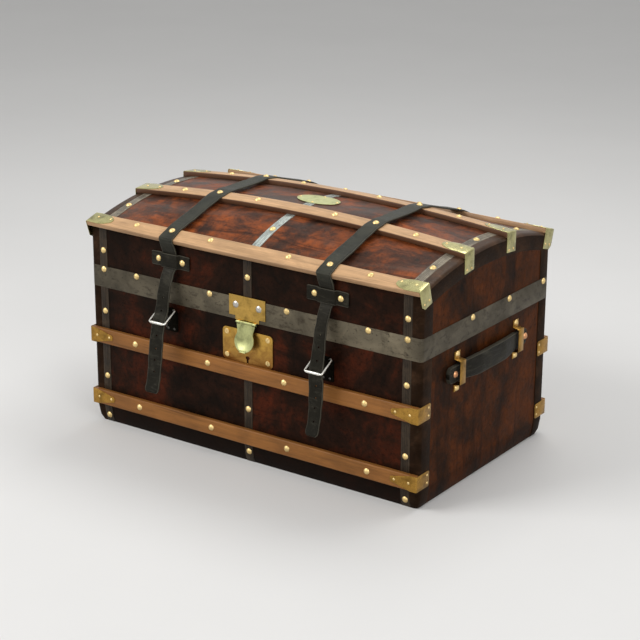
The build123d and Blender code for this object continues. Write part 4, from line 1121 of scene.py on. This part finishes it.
def make_clamps():
    """Brass caps over the ends of all slats."""
    look = sheet_metal("clamp_brass", looks().brass, roughness=0.22, tarnish=0.6)
    lid_look = sheet_metal("lid_clamp_brass", looks().lid_brass, roughness=0.18, tarnish=0.6)
    lid_leaf = leaf_outline(lid_leaf_shares, slat_half)
    case_leaf = leaf_outline(case_leaf_shares, case_slat_half) + leaf_outline(case_tip_shares, clamp_tip_half)
    # What a bend takes up more of the flat sheet than its drop
    spare = clamp_bend_length - clamp_bend
    crown_wing = wing(crown_wing_drop + spare, slat_half, clamp_corner)
    square_wing = wing(outer_wing_drop + spare, slat_half, clamp_corner)
    outer_wing = wing(outer_wing_drop + spare, slat_half, outer_wing_corner)
    case_wing = wing(slat_thickness + case_wing_reach + spare, case_slat_half, case_wing_corner)

    def on_lid_slat(end, side, y, upright):
        """Place on a lid slat, with a wing that hangs upright or stays square to the slat."""
        def place(p):
            back, drop = fold(p.x, p.z)
            x = end * (slat_end_x - back)
            height = slat_thickness - drop
            if height >= 0 or not upright:
                return on_dome(x, side * y, height, side * p.y)
            return on_dome(x, side * y, 0, side * p.y) + Vector((0, 0, height))
        return place

    def on_case_slat(end, side, z):
        """Place on a case slat."""
        def place(p):
            back, drop = fold(p.x, p.z)
            return Vector((end * (slat_end_x - back), side * (half_depth + slat_thickness - drop), z + p.y))
        return place

    for end, word in ends.items():
        for side, wall in walls.items():
            make_clamp(f"crown_clamp_{word}_{wall}", lid_leaf, crown_wing, crown_wing,
                       on_lid_slat(end, side, crown_slat_y, True), "lid", lid_look, "lid_slat_clamps")
            make_clamp(f"outer_clamp_{word}_{wall}", lid_leaf, square_wing, outer_wing,
                       on_lid_slat(end, side, outer_slat_y, False), "lid", lid_look, "lid_slat_clamps")
            for level, z in case_slats.items():
                make_clamp(f"case_clamp_{word}_{wall}_{level}", case_leaf, case_wing, case_wing,
                           on_case_slat(end, side, z), "case", look, "base_slat_clamps")


def make_plaque():
    """Blank oval plate on the crown."""
    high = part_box("plaque")[1]
    piece = new_rod("oval_plate", 1, 1, plaque_sides, (0, 0, 0.5))
    shape(piece, lambda p: Vector((p.x * high.x, p.y * high.y, p.z * plaque_thickness)))
    pick_faces(piece, lambda centre, normal: normal.z > facing)
    for step in plaque_rings:
        bpy.ops.mesh.inset(thickness=step)
    clear_selection()
    round_edges(piece, sizes().metal_round, angle=50)
    shape(piece, lambda p: on_dome(p.x, p.y, p.z + plaque_lift))
    look = sheet_metal("oval_brass", dim(looks().pale_brass, 1.35), roughness=0.3, tarnish=0.35)
    settle(piece, "lid", "pale_brass", look, "plaque")


def make_nails():
    """Domed nail heads, with dull ones behind the straps."""
    look = sheet_metal("nail_brass", looks().nail, roughness=0.4, tarnish=0.3, dents=0.1)
    # Nails behind the straps are painted near-black as shade
    shaded_nail_look = sheet_metal("nail_shaded", dim(looks().steel, 0.2), roughness=0.5, tarnish=0.6)
    paint(look, "lid_nails", "base_nails", "lid_small_nails")

    def behind_strap(face):
        near = min(abs(face.center.x - x) for x in strap_x.values()) < 2 * strap_half
        return near and face.center.y < front

    coat(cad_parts["base_small_nails"].data, (look, shaded_nail_look), behind_strap)


# Straps
def corner_cut(points, rounds):
    """Round a path by cutting its corners again and again."""
    for _ in range(rounds):
        cut_points = [points[0]]
        for a, b in zip(points, points[1:]):
            cut_points += [a.lerp(b, 0.25), a.lerp(b, 0.75)]
        points = cut_points + [points[-1]]
    return points


class Path:
    """A rounded line of (y, z) points that can be read by the distance along it."""

    def __init__(self, points):
        self.points = corner_cut([Vector(point) for point in points], 3)
        self.marks = [0.0]
        for a, b in zip(self.points, self.points[1:]):
            self.marks.append(self.marks[-1] + (b - a).length)
        self.length = self.marks[-1]

    def at(self, distance):
        """Point and direction at a distance from the start."""
        distance = min(max(distance, 0.0), self.length - 1e-7)
        low, high = 0, len(self.marks) - 1
        while high - low > 1:
            middle = (low + high) // 2
            if self.marks[middle] <= distance:
                low = middle
            else:
                high = middle
        a, b = self.points[low], self.points[low + 1]
        share = (distance - self.marks[low]) / (self.marks[low + 1] - self.marks[low])
        return a.lerp(b, share), (b - a).normalized()


def strap_path(side):
    """Middle line of a strap, from behind the lid over the slats and down to its tip."""
    mid = strap_thickness / 2
    top = slat_thickness + mid
    sag = sizes().strap_sag

    def arc(y, height, across=0.0):
        point = on_dome(strap_x[side], y, height, across)
        return point.y, point.z

    def half(sign, wall_gap):
        """From the crown's middle outwards, on one side."""
        crown, outer = sign * crown_slat_y, sign * outer_slat_y
        slat = sign * slat_half
        wall = sign * (half_depth + mid + wall_gap)
        return [arc(0, top - sag), arc(sag_place * crown, top - sag_share * sag),
                *(arc(crown, top, bend * slat) for bend in crown_bends),
                arc((crown + outer) / 2, top - sag),
                *(arc(outer, top, bend * slat) for bend in outer_bends),
                arc(outer, top + slat_edge_lift, sign * (slat_half + mid)),
                arc(outer, slat_thickness * slat_edge_share, sign * (slat_half + mid + slat_edge_gap)),
                (wall, keeper_z + keeper_half_height), (wall, keeper_z)]

    rear = half(1, strap_wall_gap)[::-1]
    falls = [(front - off * MM, z * MM) for off, z in strap_falls[side]]
    return Path([(rear[0][0], strap_rear_z), *rear, *half(-1, keeper_gap)[1:],
                 (front - keeper_gap - mid, keeper_z - keeper_half_height), *falls])


def strap_half_width(side, path, distance, point):
    """Half of a strap's width at a distance along it, with a rounded tip and slightly wavy edges."""
    rows = strap_widths[side]
    half = rows[0][1] * MM
    for (high, wide), (low, narrow) in zip(rows, rows[1:]):
        if point.x < 0 and point.y < high * MM:
            share = min(1.0, (high * MM - point.y) / ((high - low) * MM))
            half = (wide + (narrow - wide) * share) * MM
    left = path.length - distance
    if left < strap_tip_length:
        share = 1 - left / strap_tip_length
        half = half * (1 - share ** 4 * strap_tip_narrowing) - share * strap_tip_taper
    wave = sum(strength * math.sin(distance * pace + strap_x[side] * shift)
               for pace, strength, shift in strap_waves)
    return half + strap_wave * wave


def make_straps():
    """Two straps from behind the lid to their tips, each in one piece that bends below the band."""
    look = strap_leather("strap_leather", strap_half)
    for side, x in strap_x.items():
        path = strap_path(side)
        piece = new_sheet(f"strap_{side}_whole", path.length, 1.0, strap_cuts)
        remember_across(piece, lambda p: p.y * 2)

        def place(p):
            distance = p.x + path.length / 2
            point = path.at(distance)[0]
            return Vector((x - p.y * 2 * strap_half_width(side, path, distance, point), point.x, point.y))

        shape(piece, place)
        thicken(piece, strap_thickness, 0)
        round_edges(piece, sizes().leather_round, angle=60)
        turn_outwards(piece)
        punch_holes(piece, side, path, x)
        smooth(piece)
        coat(piece.data, look)
        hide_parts(f"strap_{side}", f"strap_end_{side}")
        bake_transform(piece)


def punch_holes(strap, side, path, x):
    """Round holes along the free end of a strap."""
    low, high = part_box(f"strap_end_{side}")
    z = high.z + hole_pitch
    while z > low.z + hole_pitch:
        mark = next(mark for mark, point in zip(path.marks, path.points)
                    if mark > path.length / 2 and point.x < 0 and point.y < z)
        point, direction = path.at(mark)
        turn = math.pi + math.atan2(direction.y, direction.x)
        place = (x, point.x, point.y)
        carve(strap, new_rod("drill", hole_radius, drill_length, hole_sides, place, (turn, 0, 0)))
        z -= hole_pitch


def make_keepers():
    """Leather loops nailed over the straps on the lid's front."""
    look = strap_leather("keeper_leather", keeper_half_height)
    room = keeper_gap + strap_thickness + keeper_ease
    for side, x in strap_x.items():
        piece = new_sheet(f"keeper_{side}", 2 * keeper_half_width, 2 * keeper_half_height, keeper_cuts)
        remember_across(piece, lambda p: p.y / keeper_half_height)

        def place(p):
            off = abs(p.x)
            rise = min(1.0, max(0.0, (strap_half + keeper_foot - off) / keeper_step))
            rise = rise * rise * (3 - 2 * rise)
            corner = max(0.0, off - (keeper_half_width - keeper_step)) / keeper_step
            height = p.y * (1 - keeper_corner_narrowing * corner ** 2)
            return Vector((x + p.x, front - room * rise - keeper_seat,
                           keeper_z + height + keeper_wave * math.sin(off * keeper_wave_pace)))

        shape(piece, place)
        thicken(piece, keeper_thickness)
        round_edges(piece, keeper_round, segments=3, angle=60)
        turn_outwards(piece)
        settle(piece, "lid", "black_leather", look, "strap_keepers")


def bent_wire(name, half_width, reach):
    """Closed wire frame with round corners, lying on the XY plane from its hinge bar at the origin."""
    clear_selection()
    bpy.ops.mesh.primitive_plane_add(size=1, location=(0, 0.5, 0))
    piece = named(name)
    shape(piece, lambda p: Vector((p.x * 2 * half_width, p.y * reach, 0)))
    edit(piece, "VERT", "SELECT")
    bpy.ops.mesh.bevel(offset=wire_corner, segments=wire_corner_cuts, affect="VERTICES")
    bpy.ops.mesh.select_all(action="SELECT")
    bpy.ops.mesh.delete(type="ONLY_FACE")
    activate(piece)
    bpy.ops.object.convert(target="CURVE")
    curve = bpy.context.active_object.data
    curve.bevel_depth = wire_radius
    curve.bevel_resolution = wire_round_cuts
    bpy.ops.object.convert(target="MESH")
    piece = bpy.context.active_object
    piece.name = name
    return piece


def make_buckles():
    """Wire frames with rollers and prongs, and the leather loops that hold them."""
    wire_look = sheet_metal("buckle_nickel", looks().nickel, roughness=0.32, tarnish=0.05, dents=0.05)
    prong_look = sheet_metal("prong_steel", dim(looks().steel, 0.2), roughness=0.5, tarnish=0.5)
    for side in ends.values():
        low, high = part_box(f"buckle_frame_{side}")
        roller_low, roller_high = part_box(f"buckle_roller_{side}")
        middle_x = (low.x + high.x) / 2
        bar = Vector((middle_x, high.y - wire_radius, high.z - wire_radius))
        roller = Vector((middle_x, *((roller_low + roller_high) / 2).yz))
        along = (roller - bar).normalized()
        normal = Vector((1, 0, 0)).cross(along)
        wire = bent_wire(f"buckle_wire_{side}", (high.x - low.x) / 2 - wire_radius, (roller - bar).length)
        shape(wire, lambda p: bar + Vector((p.x, 0, 0)) + along * p.y + normal * p.z)
        turn_outwards(wire)
        settle(wire, f"buckle_{side}", "nickel", wire_look, f"buckle_frame_{side}")
        tube = new_rod(f"roller_tube_{side}", roller_radius, roller_length, roller_sides, roller,
                       (0, math.pi / 2, 0))
        round_edges(tube, roller_round, angle=50)
        settle(tube, f"roller_{side}", "nickel", wire_look, f"buckle_roller_{side}")
        paint(prong_look, f"buckle_prong_{side}")
    loops = from_node("buckle_chapes", "buckle_loops", sizes().leather_round)
    # The loops are painted near-black as the shade behind the straps
    loop_shade_look = edge_leather("loop_leather_shaded", dim(looks().strap, 0.4), gloss=0.02)
    settle(loops, "case", "black_leather", loop_shade_look, "buckle_chapes")


# Lock and hasp
def make_hasp():
    """Hasp plate with its rivets, and the leaf that hangs from it."""
    brass = sheet_metal("hasp_brass", looks().hasp_brass, roughness=0.28, tarnish=0.5)
    pale = sheet_metal("tongue_brass", looks().pale_brass, roughness=0.44, tarnish=0.6)
    plate = from_node("hasp_plate", "hasp_base_plate", sizes().metal_round)
    barrel_y = front - band_thickness - hasp_barrel_gap
    settle(plate, "lid", "brass", (brass, pale), "hasp_plate", pick=lambda face: face.center.y < barrel_y)
    leaf = from_node("hasp_leaf", "hasp_tongue")
    pick_faces(leaf, lambda centre, normal: normal.y < -facing)
    bpy.ops.mesh.inset(thickness=leaf_rim, depth=-leaf_sink)
    clear_selection()
    round_edges(leaf, sizes().metal_round)
    settle(leaf, "hasp_leaf", "pale_brass", pale, "hasp_leaf")
    rivet_look = sheet_metal("rivet_steel", looks().steel, roughness=0.25, tarnish=0.1, dents=0.1)
    paint(rivet_look, "hasp_fasteners")


def screw_head(name):
    """Domed, slotted screw head round the origin, open at its foot."""
    head = new_rod(name, screw_radius, 2 * screw_height, screw_sides)
    pick_faces(head, lambda centre, normal: normal.z > facing)
    for inset, lift in screw_rings:
        bpy.ops.mesh.inset(thickness=inset)
        bpy.ops.transform.translate(value=(0, 0, lift))
    clear_selection()
    carve(head, new_box("slot_cutter", (-slot_end, -slot_half, slot_floor),
                        (slot_end, slot_half, 2 * screw_height)))
    delete_faces(head, lambda centre, normal: centre.z < 0 and normal.z < -facing)
    return head


def make_lock():
    """Lock plate with its worn keyhole, its slotted screws, and the parts behind it."""
    plate_low, plate_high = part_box("lock_plate")

    def worn_keyhole(p):
        """Widen the keyhole as a key wears it."""
        inside = abs(p.x) < keyhole_reach and plate_low.z + plate_rim < p.z < keyhole_z + keyhole_reach
        return Vector((p.x * keyhole_wear, p.y, p.z)) if inside else p

    plate = from_node("lock_plate", "lock_face")
    shape(plate, worn_keyhole)
    round_edges(plate, sizes().metal_round)
    look = sheet_metal("lock_brass", looks().lock_brass, roughness=0.3, tarnish=0.5,
                       fade=(looks().brass_aged, plate_low.z, plate_high.z))
    settle(plate, "case", "brass", look, "lock_plate")
    head = screw_head("lock_screw_0")
    smooth(head, 30)
    # The screws take the paler nail brass as a painted highlight on heads of the plate's own brass
    lit_screw_look = sheet_metal("screw_brass_lit", looks().nail, roughness=0.3, tarnish=0.5, dents=0.2)
    screw_low, screw_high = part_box("lock_screws")
    xs = (screw_low.x + screw_radius, screw_high.x - screw_radius)
    zs = (screw_low.z + screw_radius, screw_high.z - screw_radius)
    for number, (x, z) in enumerate([(x, z) for x in xs for z in zs]):
        angle = math.radians(screw_turns[number])

        def place(p):
            a = p.x * math.cos(angle) - p.y * math.sin(angle)
            b = p.x * math.sin(angle) + p.y * math.cos(angle)
            return Vector((x + a, plate_low.y - max(p.z, 0) * screw_flattening, z + b))

        screw = copy_of(head, f"lock_screw_{number + 1}", place)
        settle(screw, "case", "brass", lit_screw_look, "lock_screws", angle=None)
    bpy.data.objects.remove(head)
    inner_look = sheet_metal("lock_steel", looks().steel, roughness=0.35, tarnish=0.5)
    paint(inner_look, "lock_case", "lock_bolt")


def make_hinges():
    """Hinges behind the lid."""
    look = sheet_metal("hinge_steel", dim(looks().steel, 0.7), roughness=0.4, tarnish=0.6)
    for node, body in (("hinge_leaves_base", "case"), ("hinge_leaves_lid", "lid")):
        piece = from_node(node, f"{node}_dressed", sizes().metal_round)
        settle(piece, body, "steel", look, node)
    paint(look, "hinge_pins")


def make_handles():
    """Leather grips with their studs and brass loops."""
    look = strap_leather("handle_leather", strap_half, grain=(60, 25, 260))
    stud_look = sheet_metal("stud_copper", looks().copper, roughness=0.3, tarnish=0.4, dents=0.3)
    brass = sheet_metal("loop_brass", looks().brass, roughness=0.26, tarnish=0.7)
    loops = from_node("handle_loops", "handle_bridges", loop_round)
    settle(loops, "case", "brass", brass, "handle_loops")
    for end, side in ends.items():
        low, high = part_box(f"handle_{side}")
        middle_z = (low.z + high.z) / 2
        half = grip_thickness / 2
        piece = new_box(f"grip_{side}", (-half, low.y, -0.5), (half, high.y, 0.5))
        cut(piece, 1, spread(low.y, high.y, grip_cuts[0]))
        cut(piece, 2, spread(-0.5, 0.5, grip_cuts[1]))

        def half_height(y):
            """Half the grip's height, higher between the loops and rounded at its ends."""
            rise = max(0.0, 1 - (abs(y) / loop_y) ** 2)
            height = grip_end_half + grip_middle_extra * min(1.0, rise * grip_rise_pace)
            end_gap = min(y - low.y, high.y - y)
            if end_gap < grip_end_round:
                height *= math.sqrt(max(grip_bluntness, 1 - (1 - end_gap / grip_end_round) ** 2))
            return height

        def place(p):
            lift = max(0.0, 1 - (abs(p.y) / (loop_y - loop_room)) ** 2)
            pad = 1 - abs(p.z * 2) ** grip_pad_power
            swell = sizes().handle_bulge * lift * pad if p.x > 0 else 0.0
            bow = grip_bow * min(1.0, lift * grip_bow_pace)
            x = half_length + grip_gap + half + bow + p.x + swell
            return Vector((end * x, p.y, middle_z + p.z * 2 * half_height(p.y)))

        remember_across(piece, lambda p: p.z * 2)
        shape(piece, place)
        turn_outwards(piece)
        round_edges(piece, grip_round, segments=3, angle=50)
        settle(piece, f"handle_{side}", "black_leather", look, f"handle_{side}", angle=50)
        paint(stud_look, f"handle_studs_{side}")


# Operators, one for each group of pieces
def operator(build, label):
    """An operator class that builds one group of pieces."""
    def execute(self, context):
        build()
        return {"FINISHED"}

    idname = build.__name__.removeprefix("make_")
    return type("TRUNK_OT_" + idname, (bpy.types.Operator,), {
        "bl_idname": "trunk." + idname, "bl_label": label, "__doc__": build.__doc__, "execute": execute})


steps = [operator(build, label) for build, label in (
    (make_stage, "Stage"),
    (make_leather, "Leather covers"),
    (make_linings, "Boards and linings"),
    (make_band, "Rim band"),
    (make_strips, "Strips"),
    (make_edging, "Edge leathers"),
    (make_slats, "Slats"),
    (make_clamps, "Clamps"),
    (make_plaque, "Oval plate"),
    (make_nails, "Nails"),
    (make_keepers, "Keepers"),
    (make_straps, "Straps"),
    (make_buckles, "Buckles"),
    (make_hasp, "Hasp"),
    (make_lock, "Lock"),
    (make_hinges, "Hinges"),
    (make_handles, "Handles"),
)]


class TRUNK_PT_panel(bpy.types.Panel):
    """Panel that lists the steps, the colours and the sizes."""
    bl_label = "Trunk"
    bl_idname = "TRUNK_PT_panel"
    bl_space_type = "VIEW_3D"
    bl_region_type = "UI"
    bl_category = "Trunk"

    def draw(self, context):
        for step in steps:
            self.layout.operator(step.bl_idname)
        for group in (context.scene.trunk_colours, context.scene.trunk_sizes):
            for name in group.bl_rna.properties.keys():
                if name not in ("rna_type", "name"):
                    self.layout.prop(group, name)


classes = [TrunkColours, TrunkSizes, *steps, TRUNK_PT_panel]


def register():
    """Register the classes and the two groups of values."""
    for item in classes:
        bpy.utils.register_class(item)
    bpy.types.Scene.trunk_colours = PointerProperty(type=TrunkColours)
    bpy.types.Scene.trunk_sizes = PointerProperty(type=TrunkSizes)


def unregister():
    """Take the classes and the two groups away again."""
    del bpy.types.Scene.trunk_sizes
    del bpy.types.Scene.trunk_colours
    for item in reversed(classes):
        bpy.utils.unregister_class(item)


def main():
    """Build the whole scene and write both boxes."""
    register()
    for step in steps:
        getattr(bpy.ops.trunk, step.bl_idname.split(".")[1])()
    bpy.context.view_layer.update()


if __name__ == "__main__":
    main()
